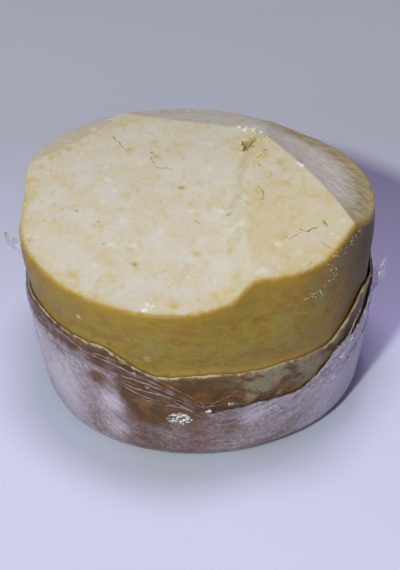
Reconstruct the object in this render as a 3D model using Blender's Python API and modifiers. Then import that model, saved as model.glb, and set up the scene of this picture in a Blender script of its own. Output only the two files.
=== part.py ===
"""Tulum cheese: a wheel of skin-ripened cheese, trimmed flat on top by knife cuts.

The wheel still sits in the lower part of its goat skin, and crumpled cling film
is drawn up round the skin. Sizes are in metres, +Z is up, the photographed side
faces -Y, and the origin is on the base, under the middle of the wheel.
"""

import math

import bmesh
import bpy
from mathutils import Vector

MM = 0.001

# Wheel, as its outer surface runs: film low down, bare cheese above
WHEEL_RADIUS = 130 * MM
WALL_DATUM = 143 * MM       # height where the wall is upright and centred
WALL_TAPER = 0.071          # share of the radius lost at the floor
WALL_BELLY = 0.015          # share of the radius gained half way up
WALL_LEAN = 5.8 * MM        # sideways shift of the floor towards +X
CORNER_RADIUS = 11 * MM     # rounding between wall and floor
TURN_STEPS = 72

# Two slow waves that press the lower wall out of round: count, size, direction
BODY_WAVES = (
    (2, 4.8 * MM, math.radians(-18)),
    (3, 2.7 * MM, math.radians(65)),
)

# The cut rim is rounder at the back, with dents pressed in: direction, width, depth
RIM_RADIUS = 134 * MM
RIM_LOW = 100 * MM          # below this height the wall is all body
RIM_HIGH = 137 * MM         # above this height the wall is all rim
RIM_DENTS = (
    (math.radians(-89), math.radians(15.5), 8.2 * MM),
    (math.radians(18), math.radians(14), 10.9 * MM),
    (math.radians(63), math.radians(24), 10.7 * MM),
    (math.radians(-30), math.radians(30), -2.4 * MM),
    (math.radians(-118), math.radians(16), -2.5 * MM),
    (math.radians(96), math.radians(13), 2.3 * MM),
    (math.radians(150), math.radians(18), 10.5 * MM),
    (math.radians(-152), math.radians(16), 9.5 * MM),
    (math.radians(176), math.radians(15), -5.5 * MM),
)

# Layers from the outside in, with a clearance between neighbours
FILM_THICKNESS = 1.2 * MM
SKIN_THICKNESS = 1.8 * MM
CLEARANCE = 0.3 * MM
SKIN_INSET = FILM_THICKNESS + CLEARANCE
CHEESE_INSET = SKIN_INSET + SKIN_THICKNESS + CLEARANCE
BARE_INSET = 0.8 * MM       # how far the bare wall lies inside the outer surface
SWELL_START = 1.5 * MM      # the cheese swells out from this far above the skin's edge
SWELL_HEIGHT = 26 * MM      # height over which it swells
TURNED_EDGE = 90 * MM       # height of the skin's edge before it is pressed to shape
WALL_ROWS = 4               # rows of faces between the corner and the skin's edge

# Upper edge of the goat skin: lowest in front, wavy all round, sagging here and there
SKIN_EDGE = 104 * MM
SKIN_DIP = 21.5 * MM
SKIN_DIP_SPAN = tuple(math.radians(a) for a in (-31, -11, 42, 69))
SKIN_SAGS = (
    (math.radians(78), math.radians(16), 6 * MM),
    (math.radians(-82), math.radians(20), 14 * MM),
    (math.radians(-38), math.radians(14), 8.5 * MM),
)
SKIN_WAVES = ((7, 1.2 * MM, 0.4), (11, 0.9 * MM, 1.9))

# Upper edge of the cling film, gathered into a rope that ends in a knot in front
FILM_EDGE = 88 * MM
FILM_BACK_RISE = 5 * MM
FILM_DIP = 34 * MM
FILM_DIP_SPAN = tuple(math.radians(a) for a in (-20, 6, 32, 58))
FILM_SAGS = ((math.radians(58), math.radians(12), 12.5 * MM),)
FILM_WAVES = ((9, 1.0 * MM, 0.7), (14, 0.7 * MM, 2.6))
ROPE_HEIGHT = 9 * MM
ROPE_SWELL = 2.4 * MM
ROPE_SPAN = tuple(math.radians(a) for a in (-75, -55, 0, 14))
KNOT_AT = math.radians(4)
KNOT_WIDTH = math.radians(7)
KNOT_SWELL = 3.2 * MM

# Knife cuts over the top: height on the axis, then rise towards +X and +Y
FRONT_CUT = (147.5 * MM, 0.045, 0.085)
RIGHT_CUT = (157.3 * MM, 0.03, 0.06)
BACK_CUT = (181.8 * MM, -0.054, -0.303)
LEFT_CUT = (162.5 * MM, 0.126, -0.025)
CUTTER_TOP = 200 * MM
DRUM_TOP = 168 * MM

# Ramp between the front cut and the higher right cut, along a bent crease
CREASE_X = 26 * MM
CREASE_Y = -55 * MM
CREASE_BEND = 1.12
RAMP_WIDTH = 6.5 * MM       # half width where y is 0
RAMP_FLARE = -0.025         # growth of the half width towards +Y

# Scooped cut at the back right, beyond a ridge that bows outwards
RIDGE_BACK = Vector((48 * MM, 61 * MM))
RIDGE_FRONT = Vector((108 * MM, -53 * MM))
RIDGE_BOW = 5 * MM
SCOOP_FALL = 0.67           # fall just beyond the ridge
SCOOP_EASE = 4.1            # how fast the fall eases off, per metre

# Crumbled pit where the cuts meet
PIT_CENTRE = Vector((38 * MM, 56 * MM, 155.5 * MM))
PIT_SIZE = Vector((5.5 * MM, 9 * MM, 6.5 * MM))

# Loose ends of the film: direction, root low and high, reach outwards and upwards
FILM_TAILS = (
    (math.radians(-92), 75 * MM, 89 * MM, 20 * MM, 23 * MM),
    (math.radians(86), 63 * MM, 87 * MM, 10.5 * MM, 16 * MM),
)
TAIL_TAPER = 0.4            # share of its width that a loose end loses
TAIL_THICKNESS = 1.0 * MM


def step(low, high, value):
    """Smooth step from 0 at low to 1 at high."""
    share = min(max((value - low) / (high - low), 0.0), 1.0)
    return share * share * (3.0 - 2.0 * share)


def plateau(span, value):
    """Rise over the first pair of span, stay at 1, and fall over the second pair."""
    return step(span[0], span[1], value) * (1.0 - step(span[2], span[3], value))


def hill(centre, width, angle):
    """A rounded hill in direction, 1 at its centre."""
    away = (angle - centre + math.pi) % (2 * math.pi) - math.pi
    return math.exp(-((away / width) ** 2))


def sags(table, angle):
    """Sum of hills, each with its direction, width and size."""
    return sum(size * hill(at, width, angle) for at, width, size in table)


def waves(table, angle):
    """Sum of waves round the wheel, each with its count, size and phase."""
    return sum(size * math.sin(count * angle + phase) for count, size, phase in table)


def plane_height(cut, x, y):
    """Height of a knife cut over a point."""
    return cut[0] + cut[1] * x + cut[2] * y


def body_radius(angle, height):
    """Outer radius of the lower wall."""
    outline = WHEEL_RADIUS + sum(
        size * math.cos(count * (angle - direction)) for count, size, direction in BODY_WAVES
    )
    below = 1.0 - height / WALL_DATUM
    belly = WALL_BELLY * math.sin(math.pi * min(max(height / WALL_DATUM, 0.0), 1.0))
    return outline * (1.0 - WALL_TAPER * below * below + belly)


def rim_radius(angle):
    """Outer radius of the cut rim."""
    return RIM_RADIUS - sags(RIM_DENTS, angle)


def wall_radius(angle, height):
    """Outer radius of the whole wall at a direction and height."""
    blend = step(RIM_LOW, RIM_HIGH, height)
    return body_radius(angle, height) * (1.0 - blend) + rim_radius(angle) * blend


def skin_edge(angle):
    """Height of the goat skin's edge."""
    dip = SKIN_DIP * plateau(SKIN_DIP_SPAN, angle) + sags(SKIN_SAGS, angle)
    return SKIN_EDGE - dip + waves(SKIN_WAVES, angle)


def film_edge(angle):
    """Height of the cling film's edge."""
    back = FILM_BACK_RISE * 0.5 * (1.0 - math.cos(angle))
    dip = FILM_DIP * plateau(FILM_DIP_SPAN, angle) + sags(FILM_SAGS, angle)
    return FILM_EDGE + back - dip + waves(FILM_WAVES, angle)


def rope_swell(angle):
    """How far the gathered film edge stands out."""
    return ROPE_SWELL * plateau(ROPE_SPAN, angle) + KNOT_SWELL * hill(KNOT_AT, KNOT_WIDTH, angle)


def turned_mesh(name, profile):
    """Turn a profile of (radius, height) points about the Z axis into a mesh."""
    outline = bpy.data.meshes.new(name + "_profile")
    points = [(radius, 0.0, height) for radius, height in profile]
    outline.from_pydata(points, [(i, i + 1) for i in range(len(points) - 1)], [])
    turned = bpy.data.objects.new(name + "_profile", outline)
    bpy.context.scene.collection.objects.link(turned)
    screw = turned.modifiers.new("Turn", "SCREW")
    screw.steps = TURN_STEPS
    screw.render_steps = TURN_STEPS
    screw.use_merge_vertices = True
    screw.merge_threshold = 0.00005
    screw.use_smooth_shade = True
    evaluated = turned.evaluated_get(bpy.context.evaluated_depsgraph_get())
    mesh = bpy.data.meshes.new_from_object(evaluated)
    mesh.name = name
    bpy.data.objects.remove(turned)
    bpy.data.meshes.remove(outline)
    return mesh


def press_to_wheel(mesh, height_of=None, swell_of=None):
    """Press a round, straight-walled turning out to the wheel's real outline.

    height_of(angle, height) moves heights on the wall, and swell_of(angle, height,
    radius) adds to the radius there.
    """
    floor_radius = WHEEL_RADIUS - CORNER_RADIUS
    for vertex in mesh.vertices:
        x, y, height = vertex.co
        radius = math.hypot(x, y)
        angle = math.atan2(x, -y)
        if radius < floor_radius:
            floor_height = min(height, CORNER_RADIUS)
            pressed = radius * (wall_radius(angle, floor_height) - CORNER_RADIUS) / floor_radius
        else:
            swell = 0.0
            if height > CORNER_RADIUS:
                if height_of:
                    height = height_of(angle, height)
                if swell_of:
                    swell = swell_of(angle, height, radius)
            pressed = radius - WHEEL_RADIUS + wall_radius(angle, height) + swell
        shift = WALL_LEAN * max(1.0 - height / WALL_DATUM, 0.0)
        vertex.co = (shift + pressed * math.sin(angle), -pressed * math.cos(angle), height)
    mesh.update()


def corner_points(inset):
    """Profile of the rounded corner, from the wall down to the floor."""
    points = []
    for part in range(4):
        turn = math.radians(90 - 30 * part)
        small = CORNER_RADIUS - inset
        radius = WHEEL_RADIUS - CORNER_RADIUS + small * math.sin(turn)
        points.append((radius, CORNER_RADIUS - small * math.cos(turn)))
    return points


def wall_heights(edge):
    """Heights of the rows on a turned wall, from the first above the corner to the edge."""
    rise = edge - CORNER_RADIUS
    return [CORNER_RADIUS + rise * row / WALL_ROWS for row in range(1, WALL_ROWS + 1)]


def cup_profile(outer_inset, thickness, edge, hem):
    """Closed profile of a cup wall: inner floor, inner wall, hem, outer wall, floor."""
    inner = outer_inset + thickness
    heights = wall_heights(edge)[:-1]
    profile = [(0.0, inner)]
    profile += reversed(corner_points(inner))
    profile += [(WHEEL_RADIUS - inner, height) for height in heights]
    profile += [(WHEEL_RADIUS - inner + offset, edge - drop) for offset, drop in hem]
    profile += [(WHEEL_RADIUS - outer_inset, height) for height in reversed(heights)]
    profile += corner_points(outer_inset)
    profile.append((0.0, outer_inset))
    return profile


def add_object(name, mesh, collection, material=None):
    """Add a mesh object to a collection, with its own material."""
    part = bpy.data.objects.new(name, mesh)
    collection.objects.link(part)
    if material:
        mesh.materials.clear()
        mesh.materials.append(material)
    return part


def finish_material(name, colour, roughness, alpha=1.0):
    """A plain Principled material."""
    material = bpy.data.materials.new(name)
    material.use_nodes = True
    shader = material.node_tree.nodes["Principled BSDF"]
    shader.inputs["Base Color"].default_value = (*colour, 1.0)
    shader.inputs["Roughness"].default_value = roughness
    shader.inputs["Metallic"].default_value = 0.0
    shader.inputs["Alpha"].default_value = alpha
    return material


def add_cutter(name, mesh, collection):
    """Add a cutter, shown as wire and left out of renders."""
    cutter = add_object(name, mesh, collection)
    cutter.hide_render = True
    cutter.display_type = "WIRE"
    return cutter


def raised_sheet(name, columns, rows, place):
    """A cutter whose underside is a grid placed by place(column, row), open sky above."""
    bm = bmesh.new()
    bmesh.ops.create_grid(bm, x_segments=columns, y_segments=rows, size=1.0)
    for vert in bm.verts:
        column = round((vert.co.x + 1.0) / 2.0 * columns)
        row = round((vert.co.y + 1.0) / 2.0 * rows)
        vert.co = place(column, row)
    raised = bmesh.ops.extrude_face_region(bm, geom=bm.faces[:])
    for vert in [item for item in raised["geom"] if isinstance(item, bmesh.types.BMVert)]:
        vert.co.z = CUTTER_TOP
    bmesh.ops.recalc_face_normals(bm, faces=bm.faces)
    mesh = bpy.data.meshes.new(name)
    bm.to_mesh(mesh)
    bm.free()
    return mesh


def crease_x(y):
    """Middle line of the ramp between the front and right cuts."""
    return CREASE_X + CREASE_BEND * (y - CREASE_Y) ** 2


def crown_height(x, y):
    """Height of the front cut, the ramp and the right cut together."""
    half = RAMP_WIDTH + RAMP_FLARE * y
    blend = step(-half, half, x - crease_x(y))
    return plane_height(FRONT_CUT, x, y) * (1.0 - blend) + plane_height(RIGHT_CUT, x, y) * blend


def crown_mesh():
    """Cutter for the front cut, the ramp and the right cut."""
    reach = 160 * MM
    across = (-1.0, -0.6, -0.2, 0.2, 0.6, 1.0)
    rows = 14

    def place(column, row):
        y = reach * (2.0 * row / rows - 1.0)
        half = RAMP_WIDTH + RAMP_FLARE * y
        if column == 0:
            x = -reach
        elif column > len(across):
            x = reach
        else:
            x = crease_x(y) + half * across[column - 1]
        return (x, y, crown_height(x, y))

    return raised_sheet("crown_cutter", len(across) + 1, rows, place)


def scoop_mesh():
    """Cutter for the scooped cut at the back right."""
    along = RIDGE_FRONT - RIDGE_BACK
    length = along.length
    along.normalize()
    outward = Vector((-along.y, along.x))
    columns, rows = 8, 10
    inner, outer = -40 * MM, 90 * MM

    def place(column, row):
        travel = length * (2.0 * row / rows - 0.5)
        beyond = inner + (outer - inner) * column / columns
        middle = 2.0 * travel / length - 1.0
        spot = RIDGE_BACK + along * travel + outward * (beyond + RIDGE_BOW * (1.0 - middle * middle))
        fall = SCOOP_FALL * beyond
        if beyond > 0.0:
            fall -= SCOOP_EASE * beyond * beyond
        return (spot.x, spot.y, plane_height(RIGHT_CUT, spot.x, spot.y) - fall)

    return raised_sheet("scoop_cutter", columns, rows, place)


def knife_mesh(name, cut):
    """Cutter with a flat underside along a knife cut."""
    reach = 220 * MM

    def place(column, row):
        x = reach * (2 * column - 1)
        y = reach * (2 * row - 1)
        return (x, y, plane_height(cut, x, y))

    bm = bmesh.new()
    bmesh.ops.create_cube(bm, size=2.0)
    for vert in bm.verts:
        x, y, height = place(int(vert.co.x > 0), int(vert.co.y > 0))
        if vert.co.z > 0:
            height += CUTTER_TOP
        vert.co = (x, y, height)
    mesh = bpy.data.meshes.new(name)
    bm.to_mesh(mesh)
    bm.free()
    return mesh


def pit_mesh():
    """Cutter for the crumbled pit, an uneven lump."""
    bm = bmesh.new()
    bmesh.ops.create_icosphere(bm, subdivisions=2, radius=1.0)
    for vert in bm.verts:
        x, y, z = vert.co
        lump = 1.0 + 0.16 * math.sin(5.0 * x + 2.0 * y) * math.cos(4.0 * z - 3.0 * y)
        offset = Vector((x * PIT_SIZE.x, y * PIT_SIZE.y, z * PIT_SIZE.z)) * lump
        vert.co = PIT_CENTRE + offset
    mesh = bpy.data.meshes.new("pit_cutter")
    bm.to_mesh(mesh)
    bm.free()
    return mesh


def cheese_swell(angle, height, radius):
    """The cheese swells out above the skin's edge, to just inside the outer surface."""
    edge = skin_edge(angle) + SWELL_START
    return (CHEESE_INSET - BARE_INSET) * step(edge, edge + SWELL_HEIGHT, height)


def stretched(height, edge, target):
    """Height on the wall when the row at edge moves to target."""
    if height <= edge:
        share = (height - CORNER_RADIUS) / (edge - CORNER_RADIUS)
        return CORNER_RADIUS + share * (target - CORNER_RADIUS)
    share = (height - edge) / (DRUM_TOP - edge)
    return target + share * (DRUM_TOP - target)


def make_cheese(parts, cutters):
    """The solid wheel with its knife cuts and its pit."""
    wall = WHEEL_RADIUS - CHEESE_INSET
    rows = 5
    profile = [(0.0, DRUM_TOP)]
    profile += [(wall, DRUM_TOP + (TURNED_EDGE - DRUM_TOP) * row / rows) for row in range(rows)]
    profile += [(wall, height) for height in reversed(wall_heights(TURNED_EDGE))]
    profile += corner_points(CHEESE_INSET)
    profile.append((0.0, CHEESE_INSET))
    mesh = turned_mesh("cheese", profile)

    def height_of(angle, height):
        return stretched(height, TURNED_EDGE, skin_edge(angle) + SWELL_START)

    press_to_wheel(mesh, height_of=height_of, swell_of=cheese_swell)
    cheese = add_object("cheese", mesh, parts, finish_material("cheese", (0.61, 0.53, 0.37), 0.55))
    cuts = (
        crown_mesh(),
        knife_mesh("back_knife", BACK_CUT),
        knife_mesh("left_knife", LEFT_CUT),
        scoop_mesh(),
        pit_mesh(),
    )
    for cut in cuts:
        cutter = add_cutter(cut.name, cut, cutters)
        boolean = cheese.modifiers.new(cut.name, "BOOLEAN")
        boolean.operation = "DIFFERENCE"
        boolean.solver = "EXACT"
        boolean.object = cutter
    return cheese


def make_skin(parts):
    """The goat skin, a thin cup with a wavy cut edge."""
    hem = ((0.0, 1.0 * MM), (0.5 * MM, 0.0), (1.3 * MM, 0.0), (SKIN_THICKNESS, 1.0 * MM))
    mesh = turned_mesh("hide", cup_profile(SKIN_INSET, SKIN_THICKNESS, TURNED_EDGE, hem))

    def height_of(angle, height):
        return stretched(height, TURNED_EDGE, skin_edge(angle))

    press_to_wheel(mesh, height_of=height_of)
    return add_object("hide", mesh, parts, finish_material("hide", (0.11, 0.045, 0.02), 0.5))


def tail_mesh(direction, root_low, root_high, reach, rise):
    """A loose end of film, a thin tapered flap rooted in the film's wall."""
    bm = bmesh.new()
    bmesh.ops.create_grid(bm, x_segments=4, y_segments=1, size=1.0)
    sideways = Vector((math.cos(direction), math.sin(direction), 0.0))
    for vert in bm.verts:
        out = (vert.co.x + 1.0) / 2.0
        root = root_low if vert.co.y < 0 else root_high
        width = root - (root_low + root_high) / 2.0
        height = (root_low + root_high) / 2.0 + width * (1.0 - TAIL_TAPER * out) + rise * out
        radius = wall_radius(direction, root) - 0.5 * FILM_THICKNESS + reach * out
        shift = WALL_LEAN * (1.0 - root / WALL_DATUM)
        wave = 1.5 * MM * math.sin(2.5 * out * math.pi) * out
        spot = Vector((shift + radius * math.sin(direction), -radius * math.cos(direction), height))
        vert.co = spot + sideways * wave
    bmesh.ops.solidify(bm, geom=bm.faces[:], thickness=TAIL_THICKNESS)
    bmesh.ops.recalc_face_normals(bm, faces=bm.faces)
    mesh = bpy.data.meshes.new("film_tail")
    bm.to_mesh(mesh)
    bm.free()
    return mesh


def make_film(parts, cutters):
    """The cling film, a thin cup with a gathered edge and two loose ends."""
    edge = 80 * MM
    rope_foot = edge - 1.2 * ROPE_HEIGHT
    hem = (
        (0.0, 1.0 * MM),
        (0.4 * MM, 0.0),
        (1.0 * MM, 0.0),
        (FILM_THICKNESS, 0.30 * ROPE_HEIGHT),
        (FILM_THICKNESS, 0.75 * ROPE_HEIGHT),
        (FILM_THICKNESS, ROPE_HEIGHT),
    )
    mesh = turned_mesh("cling_film", cup_profile(0.0, FILM_THICKNESS, edge, hem))

    def height_of(angle, height):
        rise = film_edge(angle) - edge
        if height > rope_foot:
            return height + rise
        return stretched(height, rope_foot, rope_foot + rise)

    def swell_of(angle, height, radius):
        outer = radius > WHEEL_RADIUS - 0.5 * MM
        depth = film_edge(angle) - height
        if not outer or depth > 0.9 * ROPE_HEIGHT:
            return 0.0
        return rope_swell(angle)

    press_to_wheel(mesh, height_of=height_of, swell_of=swell_of)
    material = finish_material("cling_film", (0.42, 0.37, 0.42), 0.2, alpha=0.6)
    film = add_object("cling_film", mesh, parts, material)
    for number, tail in enumerate(FILM_TAILS):
        flap = tail_mesh(*tail)
        cutter = add_cutter("tail_" + str(number + 1), flap, cutters)
        union = film.modifiers.new(cutter.name, "BOOLEAN")
        union.operation = "UNION"
        union.solver = "EXACT"
        union.object = cutter
    return film


def main():
    for item in list(bpy.data.objects):
        bpy.data.objects.remove(item, do_unlink=True)
    parts = bpy.data.collections.new("tulum_cheese")
    cutters = bpy.data.collections.new("cutters")
    bpy.context.scene.collection.children.link(parts)
    bpy.context.scene.collection.children.link(cutters)
    make_cheese(parts, cutters)
    make_skin(parts)
    make_film(parts, cutters)


main()
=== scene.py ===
"""Looks of a tulum cheese: a wheel trimmed by knife cuts, in its goat skin and cling film.

Laid out as an add-on and run as a script. Lengths are in metres, +Z is up, and the
photographed side faces -Y.
"""

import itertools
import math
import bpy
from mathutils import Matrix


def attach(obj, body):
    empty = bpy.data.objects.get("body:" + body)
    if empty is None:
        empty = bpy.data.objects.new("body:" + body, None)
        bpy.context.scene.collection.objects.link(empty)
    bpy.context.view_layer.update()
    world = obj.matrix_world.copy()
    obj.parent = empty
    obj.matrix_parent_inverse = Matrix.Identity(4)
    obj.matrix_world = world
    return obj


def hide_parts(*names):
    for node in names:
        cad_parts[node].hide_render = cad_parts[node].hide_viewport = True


bl_info = {
    "name": "Tulum Cheese",
    "version": (1, 0, 0),
    "blender": (4, 5, 0),
    "location": "View3D > Sidebar > Tulum",
    "description": "A skin-ripened cheese wheel with its goat skin and cling film",
    "category": "Object",
}

import bmesh
import bpy
import numpy as np
from bpy.props import FloatProperty, FloatVectorProperty, PointerProperty
from mathutils import Matrix, Vector

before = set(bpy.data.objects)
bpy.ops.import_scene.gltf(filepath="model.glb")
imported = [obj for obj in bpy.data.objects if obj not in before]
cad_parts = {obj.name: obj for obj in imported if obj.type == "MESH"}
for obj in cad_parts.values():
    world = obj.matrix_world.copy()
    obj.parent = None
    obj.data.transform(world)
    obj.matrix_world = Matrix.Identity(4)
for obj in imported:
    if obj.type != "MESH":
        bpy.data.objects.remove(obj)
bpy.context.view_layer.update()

MM = 0.001


def turns(*degrees):
    """Angles in radians."""
    return tuple(math.radians(angle) for angle in degrees)


def hills(*rows):
    """Hills from directions and widths in degrees and sizes in millimetres."""
    return tuple((*turns(at, width), size * MM) for at, width, size in rows)


# Wheel, as its outer surface runs
WHEEL_RADIUS = 130 * MM
WALL_DATUM = 143 * MM
WALL_TAPER = 0.071
WALL_BELLY = 0.015
WALL_LEAN = 5.8 * MM
CORNER_RADIUS = 11 * MM
BODY_WAVES = ((2, 4.8 * MM, math.radians(-18)), (3, 2.7 * MM, math.radians(65)))
RIM_RADIUS = 134 * MM
RIM_LOW = 100 * MM
RIM_HIGH = 137 * MM
RIM_DENTS = hills(
    (-89, 15.5, 8.2), (18, 14, 10.9), (63, 24, 10.7), (-30, 30, -2.4), (-118, 16, -2.5),
    (96, 13, 2.3), (150, 18, 10.5), (-152, 16, 9.5), (176, 15, -5.5),
)

# Insets of the layers from the outer surface
SKIN_INSET = 1.5 * MM
SKIN_THICKNESS = 1.8 * MM
CHEESE_INSET = 3.6 * MM
BARE_INSET = 0.8 * MM
FILM_INSET = 0.2 * MM
SWELL_START = 1.5 * MM
SWELL_HEIGHT = 26 * MM

# Upper edges of the goat skin and of the cling film
SKIN_EDGE = 104 * MM
SKIN_DIP = 21.5 * MM
SKIN_DIP_SPAN = turns(-31, -11, 42, 69)
SKIN_SAGS = hills((78, 16, 6), (-82, 20, 14), (-38, 14, 8.5))
SKIN_WAVES = ((7, 1.2 * MM, 0.4), (11, 0.9 * MM, 1.9))
FILM_EDGE = 88 * MM
FILM_BACK_RISE = 5 * MM
FILM_DIP = 34 * MM
FILM_DIP_SPAN = turns(-20, 6, 32, 58)
FILM_SAGS = hills((58, 12, 12.5))
FILM_WAVES = ((9, 1.0 * MM, 0.7), (14, 0.7 * MM, 2.6))
ROPE_HEIGHT = 9 * MM
ROPE_SWELL = 2.4 * MM
ROPE_SPAN = turns(-75, -55, 0, 14)
KNOT_AT = math.radians(4)
KNOT_WIDTH = math.radians(7)
KNOT_SWELL = 3.2 * MM
VEIL_SPAN = turns(-100, -88, -32, -18)  # where a thin veil of film goes on above the rope
VEIL_DROP = 1.0 * MM

# Knife cuts: height on the axis, then rise towards +X and +Y
FRONT_CUT = (147.5 * MM, 0.045, 0.085)
RIGHT_CUT = (157.3 * MM, 0.03, 0.06)
BACK_CUT = (181.8 * MM, -0.054, -0.303)
LEFT_CUT = (162.5 * MM, 0.126, -0.025)
CREASE_X = 26 * MM
CREASE_Y = -55 * MM
CREASE_BEND = 1.12
RAMP_WIDTH = 6.5 * MM
RAMP_FLARE = -0.025
RIDGE_BACK = np.array((48 * MM, 61 * MM))
RIDGE_FRONT = np.array((108 * MM, -53 * MM))
RIDGE_BOW = 5 * MM
SCOOP_FALL = 0.67
SCOOP_EASE = 4.1
PIT_CENTRE = (38 * MM, 56 * MM, 155.5 * MM)
PIT_SIZE = (5.5 * MM, 9 * MM, 6.5 * MM)
EDGE_SOFTNESS = 0.35 * MM  # height over which two cuts melt into each other

# Photographed frame, and the camera that sees the wheel as it does
PHOTO_WIDTH = 400
PHOTO_HEIGHT = 570
FOCAL_PIXELS = 1400
SENSOR = 36.0  # millimetres along the frame's long side
CAMERA_TILT = math.radians(36)
CAMERA_ROLL = math.radians(0.665)
CAMERA_DISTANCE = 1.055
CAMERA_TARGET = np.array((2.5 * MM, 0.0, 65.4 * MM))
SIGHT = np.arange(0.80, 1.35, 0.0002)  # distances at which a line of sight is looked along

# Key lamp: direction round and above, distance and width
KEY_AROUND = math.radians(-23.5)
KEY_ABOVE = math.radians(37)
KEY_DISTANCE = 3.5
KEY_WIDTH = 0.24
KEY_COLOUR = (0.90, 1.0, 0.74)
# Top lamp: place, softness, cone and how far it tips towards the front
TOP_PLACE = Vector((0.0, 0.12, 1.47))
TOP_RADIUS = 0.22
TOP_CONE = math.radians(95)
TOP_BLEND = 0.12
TOP_TIP = math.radians(45)
TOP_COLOUR = (0.98, 0.86, 1.0)
SKY_COLOUR = (0.84, 0.73, 1.0, 1.0)
FLOOR_REACH = 4.0

# Marks on the cut face, placed by pixels of the photo: x, y, radius in mm, strength
STAINS = (
    (69, 149, 3.5, 0.9), (60, 154, 3.5, 0.7), (50, 158, 3.5, 0.6), (40, 166, 4.0, 0.8),
    (34, 180, 4.0, 0.7), (32, 200, 3.5, 0.5), (29, 225, 3.5, 0.5), (29, 240, 3.5, 0.9),
    (129, 150, 3.5, 0.9), (155, 142, 3.0, 0.6), (157, 157, 3.5, 0.7), (181, 187, 2.8, 0.8),
    (236, 149, 3.5, 0.6), (261, 156, 3.0, 0.7), (283, 161, 3.5, 0.7), (72, 274, 5.0, 0.8),
    (135, 264, 3.0, 0.8), (109, 262, 3.0, 0.5), (197, 254, 3.0, 0.6), (174, 307, 3.0, 0.9),
    (96, 226, 2.6, 0.8), (77, 234, 2.4, 0.5), (97, 210, 2.4, 0.4), (227, 215, 2.4, 0.6),
    (110, 275, 3.0, 0.6), (90, 266, 2.4, 0.5), (52, 276, 3.2, 0.6), (95, 296, 3.5, 0.6),
    (110, 293, 3.5, 0.4), (325, 222, 3.5, 0.6), (206, 262, 2.6, 0.5), (197, 214, 2.2, 0.5),
    (231, 206, 2.2, 0.5), (266, 172, 2.6, 0.6), (259, 192, 3.0, 0.6), (229, 292, 5.0, 0.6),
    (236, 277, 5.0, 0.5), (120, 210, 2.2, 0.4), (61, 218, 2.2, 0.4), (250, 160, 2.4, 0.4),
    (164, 271, 2.2, 0.4), (200, 300, 2.6, 0.5), (215, 296, 3.0, 0.5), (285, 232, 3.0, 0.4),
)
CHALK = (
    (191, 211, 2.6, 0.8), (221, 211, 3.0, 0.9), (232, 229, 4.5, 0.9), (240, 224, 3.5, 0.7),
    (161, 231, 3.0, 0.7), (112, 245, 2.6, 0.9), (210, 144, 2.4, 1.0), (139, 164, 3.0, 0.7),
    (101, 202, 4.0, 0.5), (277, 244, 2.6, 1.0), (316, 267, 2.6, 0.8), (300, 252, 2.6, 0.6),
    (261, 271, 4.0, 0.8), (92, 266, 3.6, 0.6), (145, 310, 3.2, 1.0), (250, 126, 3.2, 1.0),
    (258, 128, 2.6, 0.9), (357, 214, 3.6, 1.0), (351, 220, 2.6, 0.7), (108, 180, 2.4, 0.7),
    (114, 191, 2.2, 0.6), (299, 163, 2.2, 1.0), (93, 130, 3.5, 0.7), (68, 141, 3.0, 0.5),
    (122, 221, 2.4, 0.6), (210, 169, 2.4, 0.5), (235, 182, 2.4, 0.4), (344, 220, 2.2, 0.6),
)
DIMPLES = (
    (182, 187, 1.6, 0.9), (135, 264, 1.5, 0.8), (77, 210, 1.0, 0.9), (99, 221, 1.0, 0.9),
    (229, 214, 1.1, 0.8), (104, 243, 0.9, 0.9), (197, 221, 1.0, 0.5), (253, 146, 1.6, 1.2),
    (266, 149, 1.4, 0.8), (270, 137, 1.2, 0.9), (259, 157, 1.2, 0.7), (152, 152, 1.2, 0.9),
)
# Cracks and crescents: pixels along each, then width and depth in mm
CRACKS = (
    (((113, 136), (116, 140), (119, 141), (121, 145), (123, 147)), 0.45, 0.8),
    (((151, 157), (153, 162), (155, 166), (162, 168), (166, 167), (173, 169)), 0.38, 0.7),
    (((175, 134), (178, 137), (181, 138)), 0.45, 0.6),
    (((301, 229), (304, 230), (308, 231), (313, 228), (318, 227)), 0.75, 1.3),
    (((283, 237), (287, 236), (290, 239), (294, 236), (299, 233), (303, 231)), 0.45, 0.5),
    (((324, 220), (325, 223), (328, 226)), 0.6, 0.9),
    (((322, 241), (325, 244), (331, 248), (336, 250), (341, 252)), 0.45, 0.6),
    (((258, 186), (262, 189), (264, 194), (263, 199), (259, 200)), 0.50, 0.7),
    (((272, 171), (271, 175), (267, 178), (263, 177)), 0.45, 0.6),
    (((195, 219), (199, 222), (200, 224)), 0.40, 0.5),
    (((236, 229), (245, 229), (252, 230)), 0.35, 0.3),
    (((296, 160), (303, 161), (307, 165)), 0.40, 0.6),
)
# Marks on the wall: pixels, radius in mm and, maybe, strength; and the path of the wet beads
REDDISH_MARKS = ((178, 336, 3.4), (68, 302, 2.2), (172, 338, 1.6))
PALE_MARKS = ((78, 317, 1.3, 1.0), (146, 360, 2.0, 0.5))
GREENISH_MARKS = (
    (70, 305, 9.0, 0.5), (155, 347, 6.0, 0.8), (285, 320, 8.0, 0.7), (205, 348, 5.0, 0.5),
    (100, 330, 6.0, 0.4), (250, 345, 8.0, 0.5), (130, 325, 5.0, 0.4), (320, 300, 7.0, 0.5),
)
DROP_TRAIL = (
    (365, 223), (353, 241), (346, 248), (337, 253), (328, 264), (335, 275), (327, 283),
    (322, 292), (310, 297),
)
# Loose crumbs: pixels and radius in mm of where they lie
YELLOW_CRUMBS = (
    (307, 265, 2.6), (252, 137, 2.6), (258, 139, 2.6), (264, 137, 2.4), (269, 142, 2.2),
    (252, 161, 1.8), (256, 165, 1.8), (262, 157, 2.2), (187, 111, 1.2),
)
WHITE_CRUMBS = (
    (240, 127, 1.8), (246, 130, 2.6), (253, 129, 2.6), (260, 132, 2.4), (145, 310, 2.2),
    (150, 307, 1.4), (316, 268, 1.8), (299, 164, 1.6), (210, 145, 1.4), (277, 243, 1.5),
)

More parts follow.
